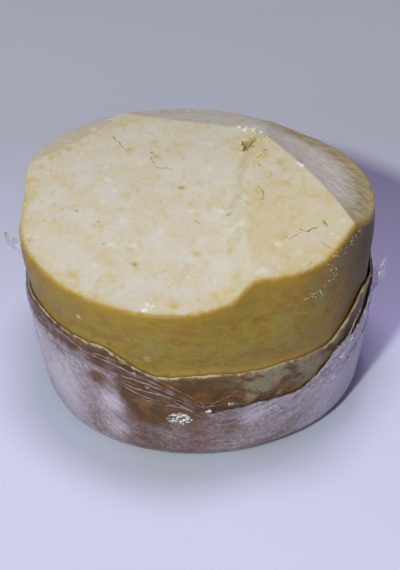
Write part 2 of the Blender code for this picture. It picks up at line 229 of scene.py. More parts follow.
# Border of the left cut's painted shade in pixels; directions of the rim's tints and of the wall's painted
# shade and glow
LEFT_BORDER = ((112, 122), (92, 134), (68, 147), (45, 156), (27, 162))
BRIGHT_RIM = turns(-86, -60, 60, 86)
YELLOW_RIM = turns(-112, -88, 60, 86)
PAINTED_SHADE_SIDE = turns(40, 78, 110, 160)
PAINTED_GLOW_SPAN = turns(-80, 10, 60, 85)

# Marks on the goat skin: pixels, radius in mm, strength
MOULD_MARKS = ((283, 374, 11.0, 1.0), (262, 379, 6.0, 0.6), (302, 364, 7.0, 0.6))
RUST_MARKS = (
    (246, 396, 5.0, 1.0), (286, 388, 5.0, 1.0), (311, 375, 4.0, 1.0), (192, 384, 6.0, 0.6),
    (324, 359, 7.0, 0.9),
)

# Folds of the gathered film: pixels along each, thickness in mm, lift in mm
PLEATS = (
    (((33, 300), (42, 317), (56, 327), (66, 333), (76, 342), (86, 349), (102, 354),
      (120, 360)), 0.55, 0.5),
    (((35, 309), (44, 326), (58, 341), (76, 352), (95, 362), (115, 373), (135, 384)), 0.6, 1.2),
    (((34, 316), (44, 333), (58, 345), (78, 356), (97, 366), (116, 377), (138, 388),
      (170, 396)), 0.55, 0.9),
    (((49, 337), (62, 347), (80, 357), (98, 368), (118, 380), (138, 392), (160, 400),
      (186, 405)), 0.6, 1.3),
    (((60, 338), (80, 346), (100, 355), (120, 364), (140, 373), (160, 383), (182, 394),
      (204, 403)), 0.7, 1.9),
    (((96, 352), (114, 357), (132, 363), (150, 372), (168, 382), (187, 392), (206, 402)), 0.6, 2.1),
    (((104, 366), (124, 373), (146, 380), (166, 388), (186, 397), (208, 407)), 0.8, 2.2),
    (((128, 384), (148, 390), (168, 394), (188, 401), (210, 409)), 0.7, 1.8),
    (((140, 396), (158, 402), (178, 405), (198, 409), (214, 414)), 0.8, 1.5),
    (((150, 388), (170, 398), (190, 408), (204, 418), (214, 424)), 0.6, 0.9),
    (((204, 405), (214, 403), (228, 403), (241, 402), (250, 404), (256, 405)), 0.7, 0.7),
    (((206, 409), (220, 409), (234, 408), (250, 407), (262, 404), (274, 401)), 0.7, 0.6),
    (((206, 406), (214, 401), (222, 397), (230, 394)), 0.5, 0.4),
    (((207, 404), (212, 410), (217, 415), (219, 419)), 0.9, 1.6),
    (((202, 402), (207, 408), (213, 413), (216, 415)), 1.0, 2.0),
)
RUFFLES = (
    (((298, 391), (306, 387), (316, 377), (326, 366), (336, 354), (345, 340),
      (352, 328)), 0.7, 0.9),
    (((308, 390), (318, 381), (329, 369), (339, 356), (348, 343), (356, 329),
      (362, 316)), 0.6, 1.3),
    (((330, 352), (338, 344), (345, 336), (350, 326), (355, 316), (360, 306)), 0.5, 1.6),
    (((344, 342), (352, 330), (358, 320), (364, 308), (369, 296), (373, 284)), 0.7, 1.6),
    (((348, 352), (356, 340), (362, 328), (367, 316), (371, 302)), 0.6, 1.0),
    (((336, 372), (344, 362), (352, 350), (358, 340)), 0.5, 0.6),
)
# Crumpled patches of the film: pixels and radius in mm; milkier or clearer ones: and change
SPARKLE_PATCHES = (
    (180, 418, 7.0), (188, 412, 6.0), (210, 407, 5.0), (132, 371, 5.0), (146, 385, 5.0),
)
HAZE_PATCHES = (
    (112, 402, 9.0, 0.35), (118, 425, 10.0, 0.35), (60, 380, 22.0, 0.30), (85, 372, 9.0, -0.05),
    (97, 376, 6.0, -0.40), (147, 398, 12.0, -0.50), (130, 392, 9.0, -0.35), (160, 404, 9.0, -0.40),
    (170, 385, 9.0, -0.25), (230, 425, 10.0, -0.15), (60, 346, 7.0, -0.20), (335, 385, 16.0, 0.15),
    (300, 410, 14.0, -0.05), (200, 440, 14.0, -0.10), (250, 415, 8.0, 0.15), (115, 400, 8.0, 0.15),
    (100, 358, 8.0, -0.35), (125, 372, 8.0, -0.35), (150, 385, 9.0, -0.30), (175, 395, 8.0, -0.30),
    (200, 403, 7.0, -0.25), (75, 345, 7.0, -0.20), (155, 408, 12.0, -0.50), (190, 415, 8.0, -0.15),
    (180, 438, 14.0, 0.06), (120, 388, 5.0, 0.10), (352, 325, 8.0, 0.35), (362, 305, 8.0, 0.35),
    (340, 350, 8.0, 0.30), (290, 430, 9.0, -0.10), (110, 440, 10.0, 0.10), (40, 330, 6.0, 0.15),
)
# Sharply crumpled patches with painted glints: pixels and radius in mm
GLINT_PATCHES = (
    (180, 418, 9.5), (135, 372, 2.6), (148, 385, 2.4), (332, 376, 2.6), (349, 338, 3.0),
    (340, 356, 2.5), (208, 407, 2.5), (230, 401, 2.2),
)

# Directions where the skin stands off, is mouldy, gets painted shade at its foot and is folded
SKIN_FLARE_SPAN = turns(38, 52, 96, 112)
MOULD_SPAN = turns(8, 16, 48, 62)
UNDERSIDE_SHADE_SPAN = turns(14, 30, 80, 100)
SKIN_FOLD_AT = math.radians(66)
SKIN_FOLD_WIDTH = math.radians(0.9)
# Rounded edge of the skin: inwards and down in mm
SKIN_HEM = ((1.8, 0.6), (1.6, 0.12), (1.2, 0.0), (0.7, 0.15), (0.3, 0.5), (0.08, 0.9))

# Milkiness of the film by direction in degrees, and where its foot is clear to show the painted shade below
FILM_MILK = (
    (-180, 0.56), (-120, 0.64), (-75, 0.73), (-45, 0.62), (-30, 0.48), (-12, 0.33),
    (5, 0.44), (20, 0.53), (45, 0.74), (80, 1.0), (120, 0.74), (180, 0.56),
)
SHADOWED_FOOT = (10.0, 28.0, 85.0, 105.0)
# Directions where the film's upper edge is ruffled, and where its ruffles get painted highlights on their
# crests
RUFFLED_RIGHT = turns(34, 46, 88, 104)
RUFFLED_LEFT = turns(-100, -85, -70, -50)
RUFFLE_SHEEN = (0.5, 0.9, 1.6, 2.0)
# Slope of the film's streaks round the wheel: direction in degrees, rise over run
STREAK_SLOPES = (
    (-180, 3.3), (-110, -2.9), (-60, -2.0), (-25, -0.8), (0, -0.3),
    (25, 0.35), (60, 0.5), (100, 0.2), (180, 3.3),
)
# Loose ends of the film: direction, root low and high, reach outwards and upwards, seed
FILM_TAILS = (
    (math.radians(-92), 75 * MM, 89 * MM, 20 * MM, 23 * MM, 61),
    (math.radians(86), 63 * MM, 87 * MM, 10.5 * MM, 16 * MM, 67),
)
TAIL_TAPER = 0.3
TAIL_GRID = (34, 18)

# Fineness of the meshes
LATTICE = 32
GRID_CELLS = 220  # cells across the cut face
RIM_DIRECTIONS = 1441
RIM_ROUNDS = 16  # rounds in which the rim's height and radius settle
RIM_STEPS = np.array((2.4, 1.5, 0.8, 0.3, 0.0)) * MM
WALL_ROWS = 22
CUP_COLUMNS = 640
HIDDEN_ROWS = (0.78, 0.5, 0.22)
CORNER_TURNS = (90, 60, 30, 0)
GLINT_ROWS = 44
FOLD_STEPS = 12  # points of a fold between two pixels of its path

# Strewn grains: first random seed and the greatest spin
FIRST_SEED = 5
FULL_TURN = 6.283
# Kinds: name, field that says where, grains on a square metre, settings of size and colour,
# height as a share of width, unevenness in mm, subdivisions and roughness
GRAINS = (
    ("crumbs", "crumbs", 150000.0, "crumb_size", "crumb", 0.6, 1.8, 3, 0.8),
    ("white_crumbs", "white_crumbs", 170000.0, "crumb_size", "white", 0.5, 1.8, 3, 0.8),
    ("salt_flecks", "flecks", 26000.0, "fleck_size", "fleck", 0.35, 0.4, 1, 0.9),
    ("wet_beads", "drops", 260000.0, "drop_size", "drop", 0.55, 0.1, 2, 0.12),
)
# Thin folds: name, table, random seed, wobble in mm, least and greatest cover, and their sides
FOLDS = (
    ("film_pleats", PLEATS, 51, 0.35, 0.05, 0.27),
    ("film_ruffles", RUFFLES, 52, 1.5, 0.22, 0.80),
)
FOLD_SIDES = 8


def paint(red, green, blue):
    """Scene colour of a screen colour given from 0 to 255."""
    shades = []
    for value in (red, green, blue):
        share = value / 255.0
        if share <= 0.04045:
            shades.append(share / 12.92)
        else:
            shades.append(((share + 0.055) / 1.055) ** 2.4)
    return tuple(shades)


def colour_setting(name, description, *shades):
    """A colour setting from screen shades."""
    return FloatVectorProperty(
        name=name, description=description, default=paint(*shades), subtype="COLOR", min=0.0, max=1.0
    )


def length_setting(name, description, millimetres):
    """A length setting."""
    return FloatProperty(name=name, description=description, default=millimetres * MM, unit="LENGTH")


def number_setting(name, description, default):
    """A plain setting."""
    return FloatProperty(name=name, description=description, default=default)


class TULUM_PG_cheese(bpy.types.PropertyGroup):
    """Sizes and colours of the cheese."""

    cut_pale: colour_setting("Cut, pale", "Pale cream of the cut face", 198, 194, 184)
    cut_warm: colour_setting("Cut, warm", "Warmer cream of the cut face", 195, 184, 152)
    stain: colour_setting("Stain", "Ochre spots in the cut face", 184, 167, 94)
    chalk: colour_setting("Chalk", "White salty patches", 218, 216, 212)
    # Painted shade: darkens the cracks, dimples and the crumbled pit
    crevice: colour_setting("Crevice", "Depth of cracks and pits", 120, 98, 38)
    scoop: colour_setting("Scoop", "Drier face beyond the ridge", 204, 203, 196)
    # Painted shade: the left cut's face drawn greyer than the rest of the cut
    left_cut_shade: colour_setting("Left cut", "Greyer face of the left cut", 182, 174, 168)
    scoop_warm: colour_setting("Scoop, warm", "Yellower outer part of that face", 142, 127, 88)
    wall: colour_setting("Wall", "Waxy side of the wheel", 145, 120, 52)
    wall_dark: colour_setting("Wall, dark", "Brown mottles of the side", 131, 99, 36)
    wall_green: colour_setting("Wall, greenish", "Pale greenish clouds of the side", 136, 126, 76)
    # Real golden grain, and also painted light: a glow on the wall just above the skin's edge, where its
    # recess is in shade
    gold_and_painted_glow: colour_setting("Wall, golden", "Golden grain, and the glow above the skin", 168, 136, 68)
    wall_red: colour_setting("Wall, reddish", "Reddish marks of the side", 140, 92, 66)
    wall_pale: colour_setting("Wall, pale", "Pale specks of the side", 226, 216, 190)
    # Painted shade: darkens the wall on the side away from the key lamp
    painted_wall_shade: colour_setting("Wall, lee", "Darker wax away from the light", 60, 45, 14)
    rim_band: colour_setting("Rim band", "Deeper ochre just under the rim", 159, 124, 38)
    rim_round: length_setting("Rim rounding", "Rounding of the cut rim", 2.0)
    relief: length_setting("Relief", "Unevenness that the knife left", 0.20)


class TULUM_PG_crumbs(bpy.types.PropertyGroup):
    """Sizes and colours of what is scattered over the cheese."""

    crumb: colour_setting("Crumb", "Yellow crumbs", 198, 192, 138)
    white: colour_setting("White crumb", "White crumbs", 222, 221, 214)
    fleck: colour_setting("Fleck", "White salty flecks", 217, 215, 207)
    drop: colour_setting("Drop", "Wet beads on the side", 226, 214, 170)
    crumb_size: length_setting("Crumb size", "Largest crumb", 4.4)
    fleck_size: length_setting("Fleck size", "Largest fleck", 0.8)
    drop_size: length_setting("Drop size", "Largest drop", 1.15)


class TULUM_PG_hide(bpy.types.PropertyGroup):
    """Sizes and colours of the goat skin."""

    brown: colour_setting("Brown", "Wet brown of the skin", 84, 58, 24)
    rust: colour_setting("Rust", "Rusty patches", 114, 75, 27)
    grey: colour_setting("Grey", "Grey, mouldy patches", 132, 120, 94)
    pores: colour_setting("Pores", "Dark grain of the skin", 46, 28, 16)
    # Painted shade: the dark foot of the skin at the front right, where the rounded base hides the floor
    damp: colour_setting("Damp", "Damp foot of the skin", 30, 22, 26)
    edge: colour_setting("Cut edge", "Pale cut edge", 192, 173, 143)
    relief: length_setting("Relief", "Height of the skin's wrinkles", 0.35)
    flare: length_setting("Flare", "How far the edge stands off at the right", 1.6)


class TULUM_PG_film(bpy.types.PropertyGroup):
    """Sizes and colours of the cling film."""

    clear: colour_setting("Clear", "Tint of the clearer film", 130, 82, 82)
    haze: colour_setting("Haze", "Milky folds of the film", 205, 193, 212)
    # Painted highlight: the white of the glinting facets
    painted_glint: colour_setting("Glint", "Sharply crumpled patches", 238, 236, 242)
    loose: colour_setting("Loose", "Tint of the loose ends", 190, 188, 205)
    thickness: length_setting("Thickness", "Thickness of the layers together", 0.35)
    wrinkle: length_setting("Wrinkle", "Height of the wrinkles", 0.22)
    crumple: length_setting("Crumple", "Height of the crumpled parts", 0.8)


class TULUM_PG_stage(bpy.types.PropertyGroup):
    """Floor and light."""

    floor: colour_setting("Floor", "Pale floor", 206, 208, 242)
    # Painted light: the floor painted paler towards the back
    floor_back_lit: colour_setting("Floor, back", "Paler floor behind the wheel", 227, 229, 252)
    key_power: number_setting("Key", "Power of the key lamp in watts", 90.0)
    top_power: number_setting("Top", "Power of the top lamp in watts", 33.5)
    sky: number_setting("Sky", "Strength of the even light", 0.24)


SETTINGS = (
    ("tulum_cheese", TULUM_PG_cheese),
    ("tulum_crumbs", TULUM_PG_crumbs),
    ("tulum_hide", TULUM_PG_hide),
    ("tulum_film", TULUM_PG_film),
    ("tulum_stage", TULUM_PG_stage),
)


# Shape of the wheel


def step(low, high, value):
    """Smooth step from 0 at low to 1 at high."""
    share = np.clip((value - low) / (high - low), 0.0, 1.0)
    return share * share * (3.0 - 2.0 * share)


def plateau(span, value):
    """Rise over the first pair of span, stay at 1, and fall over the second pair."""
    return step(span[0], span[1], value) * (1.0 - step(span[2], span[3], value))


def bell(away, width):
    """Rounded fall from 1 with distance."""
    return np.exp(-((away / width) ** 2))


def hill(centre, width, angle):
    """A rounded hill in direction, 1 at its centre."""
    return bell((angle - centre + math.pi) % (2 * math.pi) - math.pi, width)


def sags(table, angle):
    """Sum of hills, each with its direction, width and size."""
    return sum(size * hill(at, width, angle) for at, width, size in table)


def waves(table, angle):
    """Sum of waves round the wheel, each with its count, size and phase."""
    return sum(size * np.sin(count * angle + phase) for count, size, phase in table)


def plane_height(cut, x, y):
    """Height of a knife cut over a point."""
    return cut[0] + cut[1] * x + cut[2] * y


def body_radius(angle, height):
    """Outer radius of the lower wall."""
    outline = WHEEL_RADIUS + sum(
        size * np.cos(count * (angle - direction)) for count, size, direction in BODY_WAVES
    )
    below = 1.0 - height / WALL_DATUM
    belly = WALL_BELLY * np.sin(math.pi * np.clip(height / WALL_DATUM, 0.0, 1.0))
    return outline * (1.0 - WALL_TAPER * below * below + belly)


def rim_radius(angle):
    """Outer radius of the cut rim."""
    return RIM_RADIUS - sags(RIM_DENTS, angle)


def wall_radius(angle, height):
    """Outer radius of the whole wall at a direction and height."""
    blend = step(RIM_LOW, RIM_HIGH, height)
    return body_radius(angle, height) * (1.0 - blend) + rim_radius(angle) * blend


def lean(height):
    """Sideways shift of the wheel at a height."""
    return WALL_LEAN * np.maximum(1.0 - height / WALL_DATUM, 0.0)


def direction_of(points):
    """Direction of points round the leaning wheel."""
    return np.arctan2(points[..., 0] - lean(points[..., 2]), -points[..., 1])


def outward_of(direction):
    """Level directions that point away from the axis."""
    return np.stack((np.sin(direction), -np.cos(direction), 0.0 * direction), axis=-1)


def wall_point(angle, height, inset):
    """Points a little inside the outer surface."""
    radius = wall_radius(angle, height) - inset
    height = height + 0.0 * angle
    return np.stack(
        (lean(height) + radius * np.sin(angle), -radius * np.cos(angle), height), axis=-1
    )


def corner_row(angle, inset, turn):
    """One row of the rounding between wall and floor."""
    small = CORNER_RADIUS - inset
    bend = math.radians(turn)
    height = CORNER_RADIUS - small * math.cos(bend) + 0.0 * angle
    return wall_point(angle, height, CORNER_RADIUS - small * math.sin(bend))


def skin_edge(angle):
    """Height of the goat skin's edge."""
    dip = SKIN_DIP * plateau(SKIN_DIP_SPAN, angle) + sags(SKIN_SAGS, angle)
    return SKIN_EDGE - dip + waves(SKIN_WAVES, angle)


def film_edge(angle):
    """Height of the cling film's edge."""
    back = FILM_BACK_RISE * 0.5 * (1.0 - np.cos(angle))
    dip = FILM_DIP * plateau(FILM_DIP_SPAN, angle) + sags(FILM_SAGS, angle)
    return FILM_EDGE + back - dip + waves(FILM_WAVES, angle)


def rope_swell(angle):
    """How far the gathered film edge stands out."""
    return ROPE_SWELL * plateau(ROPE_SPAN, angle) + KNOT_SWELL * hill(KNOT_AT, KNOT_WIDTH, angle)


def cheese_inset(angle, height):
    """Inset of the cheese, which swells out above the skin's edge."""
    edge = skin_edge(angle) + SWELL_START
    swell = (CHEESE_INSET - BARE_INSET) * step(edge, edge + SWELL_HEIGHT, height)
    return CHEESE_INSET - swell


def soft_minimum(first, second):
    """Lower of two heights, melted together where they meet."""
    share = np.clip(0.5 + 0.5 * (second - first) / EDGE_SOFTNESS, 0.0, 1.0)
    blend = EDGE_SOFTNESS * share * (1.0 - share)
    return second * (1.0 - share) + first * share - blend


def crown_height(x, y):
    """Height of the front cut, the ramp and the right cut together."""
    half = RAMP_WIDTH + RAMP_FLARE * y
    crease = CREASE_X + CREASE_BEND * (y - CREASE_Y) ** 2
    blend = step(-half, half, x - crease)
    return plane_height(FRONT_CUT, x, y) * (1.0 - blend) + plane_height(RIGHT_CUT, x, y) * blend


def scoop_place(x, y):
    """Travel along the ridge and distance beyond it."""
    along = RIDGE_FRONT - RIDGE_BACK
    length = np.hypot(*along)
    along = along / length
    east, north = x - RIDGE_BACK[0], y - RIDGE_BACK[1]
    travel = east * along[0] + north * along[1]
    middle = 2.0 * travel / length - 1.0
    beyond = -east * along[1] + north * along[0] - RIDGE_BOW * (1.0 - middle * middle)
    return travel, beyond


def scoop_height(x, y):
    """Height of the scooped cut beyond the ridge."""
    beyond = scoop_place(x, y)[1]
    fall = SCOOP_FALL * beyond - SCOOP_EASE * np.maximum(beyond, 0.0) ** 2
    return plane_height(RIGHT_CUT, x, y) - fall


def cut_heights(x, y):
    """Heights of the four cuts over a point: crown, back, left and scoop."""
    return (
        crown_height(x, y),
        plane_height(BACK_CUT, x, y),
        plane_height(LEFT_CUT, x, y),
        scoop_height(x, y),
    )


def cut_height(x, y):
    """Height of the trimmed top."""
    height, *others = cut_heights(x, y)
    for other in others:
        height = soft_minimum(height, other)
    return height


def rim_of(angle):
    """Radius and height of the rim, where the wall meets the cuts."""
    height = np.full_like(angle, WALL_DATUM)
    for _ in range(RIM_ROUNDS):
        radius = wall_radius(angle, height) - cheese_inset(angle, height)
        height = cut_height(lean(height) + radius * np.sin(angle), -radius * np.cos(angle))
    return radius, height


# Photo and random fields


def camera_axes():
    """Place of the camera, and its right, up and forward directions."""
    forward = np.array((0.0, math.cos(CAMERA_TILT), -math.sin(CAMERA_TILT)))
    level = np.array((1.0, 0.0, 0.0))
    upright = np.cross(level, forward)
    right = level * math.cos(CAMERA_ROLL) + upright * math.sin(CAMERA_ROLL)
    up = upright * math.cos(CAMERA_ROLL) - level * math.sin(CAMERA_ROLL)
    return CAMERA_TARGET - forward * CAMERA_DISTANCE, right, up, forward


def seen(pixels):
    """Points of the wheel's surface that show at some pixels of the photo."""
    place, right, up, forward = camera_axes()
    across, down = np.array(pixels, float).T
    rays = (
        forward
        + ((across - PHOTO_WIDTH / 2) / FOCAL_PIXELS)[:, None] * right
        - ((down - PHOTO_HEIGHT / 2) / FOCAL_PIXELS)[:, None] * up
    )
    points = place + SIGHT[:, None, None] * rays
    x, y, z = np.moveaxis(points, -1, 0)
    radius = np.hypot(x - lean(z), y)
    wall = radius - wall_radius(direction_of(points), z) + BARE_INSET
    outside = np.maximum(wall, z - cut_height(x, y))
    first = np.where((outside < 0.0).any(axis=0), (outside < 0.0).argmax(axis=0), outside.argmin(axis=0))
    return points[first, np.arange(len(across))]


def noise(points, size, seed):
    """Smooth random field from -1 to 1, with bumps about size across."""
    table = np.random.default_rng(seed).uniform(-1.0, 1.0, (LATTICE,) * 3)
    cell = points / size
    low = np.floor(cell).astype(int)
    share = cell - low
    share = share * share * (3.0 - 2.0 * share)
    total = np.zeros(len(points))
    for corner in itertools.product((0, 1), repeat=3):
        index = (low + corner) % LATTICE
        weight = np.prod(np.where(np.array(corner) == 1, share, 1.0 - share), axis=1)
        total += weight * table[index[:, 0], index[:, 1], index[:, 2]]
    return total


def creases(points, size, seed):
    """Sharp random ridges, 1 along their crests and about size apart."""
    return 1.0 - np.abs(noise(points, size, seed)) * 2.0


def near_marks(points, marks):
    """How near points are to marks, each a place, radius and strength; the strongest counts."""
    total = np.zeros(len(points))
    for place, radius, strength in marks:
        away = ((points - place) ** 2).sum(axis=1)
        total = np.maximum(total, strength * np.exp(-away / radius**2))
    return total


def photo_marks(table):
    """Marks from a table of pixels with a radius in millimetres and, maybe, a strength."""
    places = seen([row[:2] for row in table])
    return [
        (place, row[2] * MM, row[3] if len(row) > 3 else 1.0) for place, row in zip(places, table)
    ]


def path_distance(points, path):
    """Distance from points to a path of straight runs."""
    best = np.full(len(points), np.inf)
    for start, end in zip(path[:-1], path[1:]):
        along = end - start
        share = np.clip((points - start) @ along / (along @ along), 0.0, 1.0)
        best = np.minimum(best, np.linalg.norm(points - start - share[:, None] * along, axis=1))
    return best


# Meshes and materials


def new_object(name, data):
    """Put a mesh, a curve, a lamp or a camera in the scene under a name."""
    piece = bpy.data.objects.new(name, data)
    bpy.context.scene.collection.objects.link(piece)
    return piece


def new_mesh(name, points, faces, material, fields):
    """A smooth mesh with its normals outwards and its fields as attributes."""
    mesh = bpy.data.meshes.new(name)
    mesh.from_pydata(points.tolist(), [], faces)
    bm = bmesh.new()
    bm.from_mesh(mesh)
    bmesh.ops.recalc_face_normals(bm, faces=bm.faces)
    bm.to_mesh(mesh)
    bm.free()
    mesh.shade_smooth()
    for field, values in fields.items():
        if values.ndim == 2:
            layer = mesh.attributes.new(field, "FLOAT_VECTOR", "POINT")
            layer.data.foreach_set("vector", values.astype(np.float32).ravel())
        else:
            layer = mesh.attributes.new(field, "FLOAT", "POINT")
            layer.data.foreach_set("value", values.astype(np.float32))
    mesh.materials.append(material)
    return mesh


def ring_faces(rows, columns, first=0):
    """Faces between successive closed rows of points."""
    row, column = np.mgrid[0 : rows - 1, 0:columns]
    here = first + row * columns + column
    there = first + row * columns + (column + 1) % columns
    return np.stack((here, there, there + columns, here + columns), axis=-1).reshape(-1, 4).tolist()


def fan_faces(centre, ring):
    """Triangles from a centre to a closed ring."""
    return [(centre, ring[i], ring[(i + 1) % len(ring)]) for i in range(len(ring))]


def connect(tree, node, socket, value):
    """Set a node's input, or link it to another node's output."""
    if isinstance(value, bpy.types.NodeSocket):
        tree.links.new(value, node.inputs[socket])
    elif hasattr(value, "__len__"):
        size = len(node.inputs[socket].default_value)
        node.inputs[socket].default_value = (*value, 1.0)[:size]
    else:
        node.inputs[socket].default_value = value


def add_node(tree, kind, inputs, **settings):
    """Add a node with its settings, and set or link its inputs."""
    made = tree.nodes.new(kind)
    for key, value in settings.items():
        setattr(made, key, value)
    for socket, value in inputs.items():
        connect(tree, made, socket, value)
    return made


class Finish:
    """Builds a material's nodes, one short call each."""

    def __init__(self, name):
        self.material = bpy.data.materials.new(name)
        self.material.use_nodes = True
        self.tree = self.material.node_tree
        self.shader = self.tree.nodes["Principled BSDF"]

    def node(self, kind, inputs, **settings):
        """Outputs of a new node."""
        return add_node(self.tree, kind, inputs, **settings).outputs

    def place(self, stretch=(1.0, 1.0, 1.0), turn=(0.0, 0.0, 0.0)):
        """Object coordinates, turned and stretched."""
        source = self.node("ShaderNodeTexCoord", {})["Object"]
        inputs = {"Vector": source, "Rotation": turn, "Scale": stretch}
        return self.node("ShaderNodeMapping", inputs)["Vector"]

    def field(self, name, output="Fac"):
        """An attribute of the mesh."""
        return self.node("ShaderNodeAttribute", {}, attribute_name=name)[output]

    def speckle(self, vector, scale, detail=2.0, roughness=0.5, distortion=0.0):
        """Noise from 0 to 1."""
        inputs = {"Vector": vector, "Scale": scale, "Detail": detail}
        inputs.update({"Roughness": roughness, "Distortion": distortion})
        return self.node("ShaderNodeTexNoise", inputs)["Fac"]

    def cells(self, vector, scale):
        """Distance to the nearest of some scattered points."""
        return self.node("ShaderNodeTexVoronoi", {"Vector": vector, "Scale": scale})["Distance"]

    def band(self, value, low, high, start=0.0, end=1.0):
        """Smooth step of a value from start at low to end at high."""
        inputs = {"Value": value, "From Min": low, "From Max": high, "To Min": start, "To Max": end}
        return self.node("ShaderNodeMapRange", inputs, interpolation_type="SMOOTHSTEP")["Result"]

    def plus(self, first, second, operation="ADD"):
        """Sum of two values, kept from 0 to 1."""
        inputs = {0: first, 1: second}
        return self.node("ShaderNodeMath", inputs, operation=operation, use_clamp=True)["Value"]

    def times(self, first, second):
        """Product of two values, kept from 0 to 1."""
        return self.plus(first, second, "MULTIPLY")

    def mix(self, first, second, share):
        """Two colours mixed by a share."""
        return self.node("ShaderNodeMix", {0: share, 6: first, 7: second}, data_type="RGBA")[2]

    def bump(self, height, strength, distance):
        """Fine relief on the shader."""
        inputs = {"Height": height, "Strength": strength, "Distance": distance}
        connect(self.tree, self.shader, "Normal", self.node("ShaderNodeBump", inputs)["Normal"])

    def shine(self, **inputs):
        """Set the shader's own inputs, with _ for a space in their names."""
        for socket, value in inputs.items():
            connect(self.tree, self.shader, socket.replace("_", " "), value)
        return self.material


def cheese_finish(settings):
    """Cream cut face with ochre spots and chalky flecks, waxy ochre side."""
    n = Finish("cheese")
    spot = n.place()
    fine = n.speckle(spot, 420.0, 3.0, 0.6)
    medium = n.speckle(spot, 165.0, 3.0, 0.55, 0.4)
    broad = n.speckle(spot, 42.0, 3.0, 0.5)
    wide = n.speckle(spot, 16.0, 2.0, 0.5)

    warmth = n.plus(n.band(broad, 0.36, 0.66, 0.0, 0.6), n.times(n.field("warm"), 0.6))
    cream = n.mix(settings.cut_pale, settings.cut_warm, warmth)
    lines = n.speckle(n.place((0.16, 1.0, 1.0), (0.0, 0.0, math.radians(62))), 420.0, 3.0, 0.6)
    outer = n.field("outer")
    veins = n.times(n.band(lines, 0.40, 0.66), n.band(outer, 0.0, 1.0, 0.28, 0.6))
    dry = n.mix(settings.scoop, settings.scoop_warm, n.plus(veins, n.times(outer, 0.75)))
    cream = n.mix(cream, dry, n.times(n.field("scoop"), 0.9))
    # Painted shade: the left cut's face greyer
    cream = n.mix(cream, settings.left_cut_shade, n.field("left"))

    spots = n.speckle(n.place((1.0, 0.65, 1.0)), 190.0, 1.5, 0.45, 0.2)
    spots = n.times(n.band(spots, 0.55, 0.72, 0.0, 0.45), n.band(wide, 0.40, 0.60, 0.35, 1.0))
    curd = n.speckle(n.place((1.0, 0.8, 1.0), (0.0, 0.0, 0.7)), 85.0, 4.0, 0.65, 0.5)
    stains = n.times(n.field("stain"), n.band(medium, 0.25, 0.60, 0.35, 1.0))
    stains = n.plus(stains, n.band(curd, 0.50, 0.72, 0.0, 0.34))
    stains = n.plus(stains, n.band(fine, 0.52, 0.74, 0.0, 0.20))
    cream = n.mix(cream, settings.stain, n.plus(spots, stains))

    flecks = n.speckle(n.place(turn=(0.3, 0.8, 0.1)), 150.0, 3.0, 0.55)
    chalk = n.times(n.field("chalk"), n.band(medium, 0.35, 0.58, 0.4, 1.0))
    cream = n.mix(cream, settings.chalk, n.plus(n.band(flecks, 0.61, 0.78, 0.0, 0.45), chalk))

    mottle = n.speckle(n.place((0.7, 0.7, 1.2)), 150.0, 6.0, 0.70, 0.6)
    side = n.mix(settings.wall, settings.wall_dark, n.band(mottle, 0.40, 0.64, 0.0, 0.9))
    clouds = n.band(n.speckle(spot, 34.0, 3.0, 0.6), 0.50, 0.70, 0.0, 0.45)
    clouds = n.times(n.plus(n.field("green"), clouds), n.band(medium, 0.30, 0.62, 0.3, 1.0))
    side = n.mix(side, settings.wall_green, clouds)
    glow = n.times(n.field("rim"), n.band(n.speckle(spot, 55.0, 2.0), 0.25, 0.65, 0.45, 1.0))
    side = n.mix(side, settings.rim_band, glow)
    # Painted light: a golden glow just above the skin's edge, lifting the shade of the recess
    side = n.mix(side, settings.gold_and_painted_glow, n.times(n.field("foot"), n.band(medium, 0.30, 0.60, 0.3, 0.9)))
    side = n.mix(side, settings.wall_red, n.times(n.field("red"), n.band(fine, 0.40, 0.58)))
    side = n.mix(side, settings.wall_pale, n.times(n.field("pale"), 0.9))
    side = n.mix(side, settings.gold_and_painted_glow, n.band(fine, 0.56, 0.74, 0.0, 0.45))
    # Painted shade on the wall's side away from the key lamp
    side = n.mix(side, settings.painted_wall_shade, n.times(n.field("lee"), 0.80))

    colour = n.mix(cream, side, n.field("wall"))
    # Painted shade in the cracks, dimples and pit
    colour = n.mix(colour, settings.crevice, n.field("crevice"))
    n.bump(n.plus(n.times(fine, 0.6), n.times(medium, 0.4)), 0.45, 0.5 * MM)
    return n.shine(
        Base_Color=colour,
        Roughness=n.band(n.field("wall"), 0.0, 1.0, 0.78, 0.50),
        Specular_IOR_Level=0.24,
        Subsurface_Weight=0.10,
        Subsurface_Radius=(1.0, 0.8, 0.45),
        Subsurface_Scale=2.0 * MM,
    )


def grain_finish(name, colour, roughness):
    """Finish of crumbs, flecks and drops: one tint that varies from grain to grain."""
    n = Finish(name)
    darker = tuple(0.8 * value for value in colour)
    broad = n.speckle(n.place(), 260.0, 2.0)
    n.bump(n.speckle(n.place(), 1300.0, 2.0), 0.3, 0.2 * MM)
    tint = n.mix(darker, colour, n.band(broad, 0.35, 0.6))
    return n.shine(Base_Color=tint, Roughness=roughness)


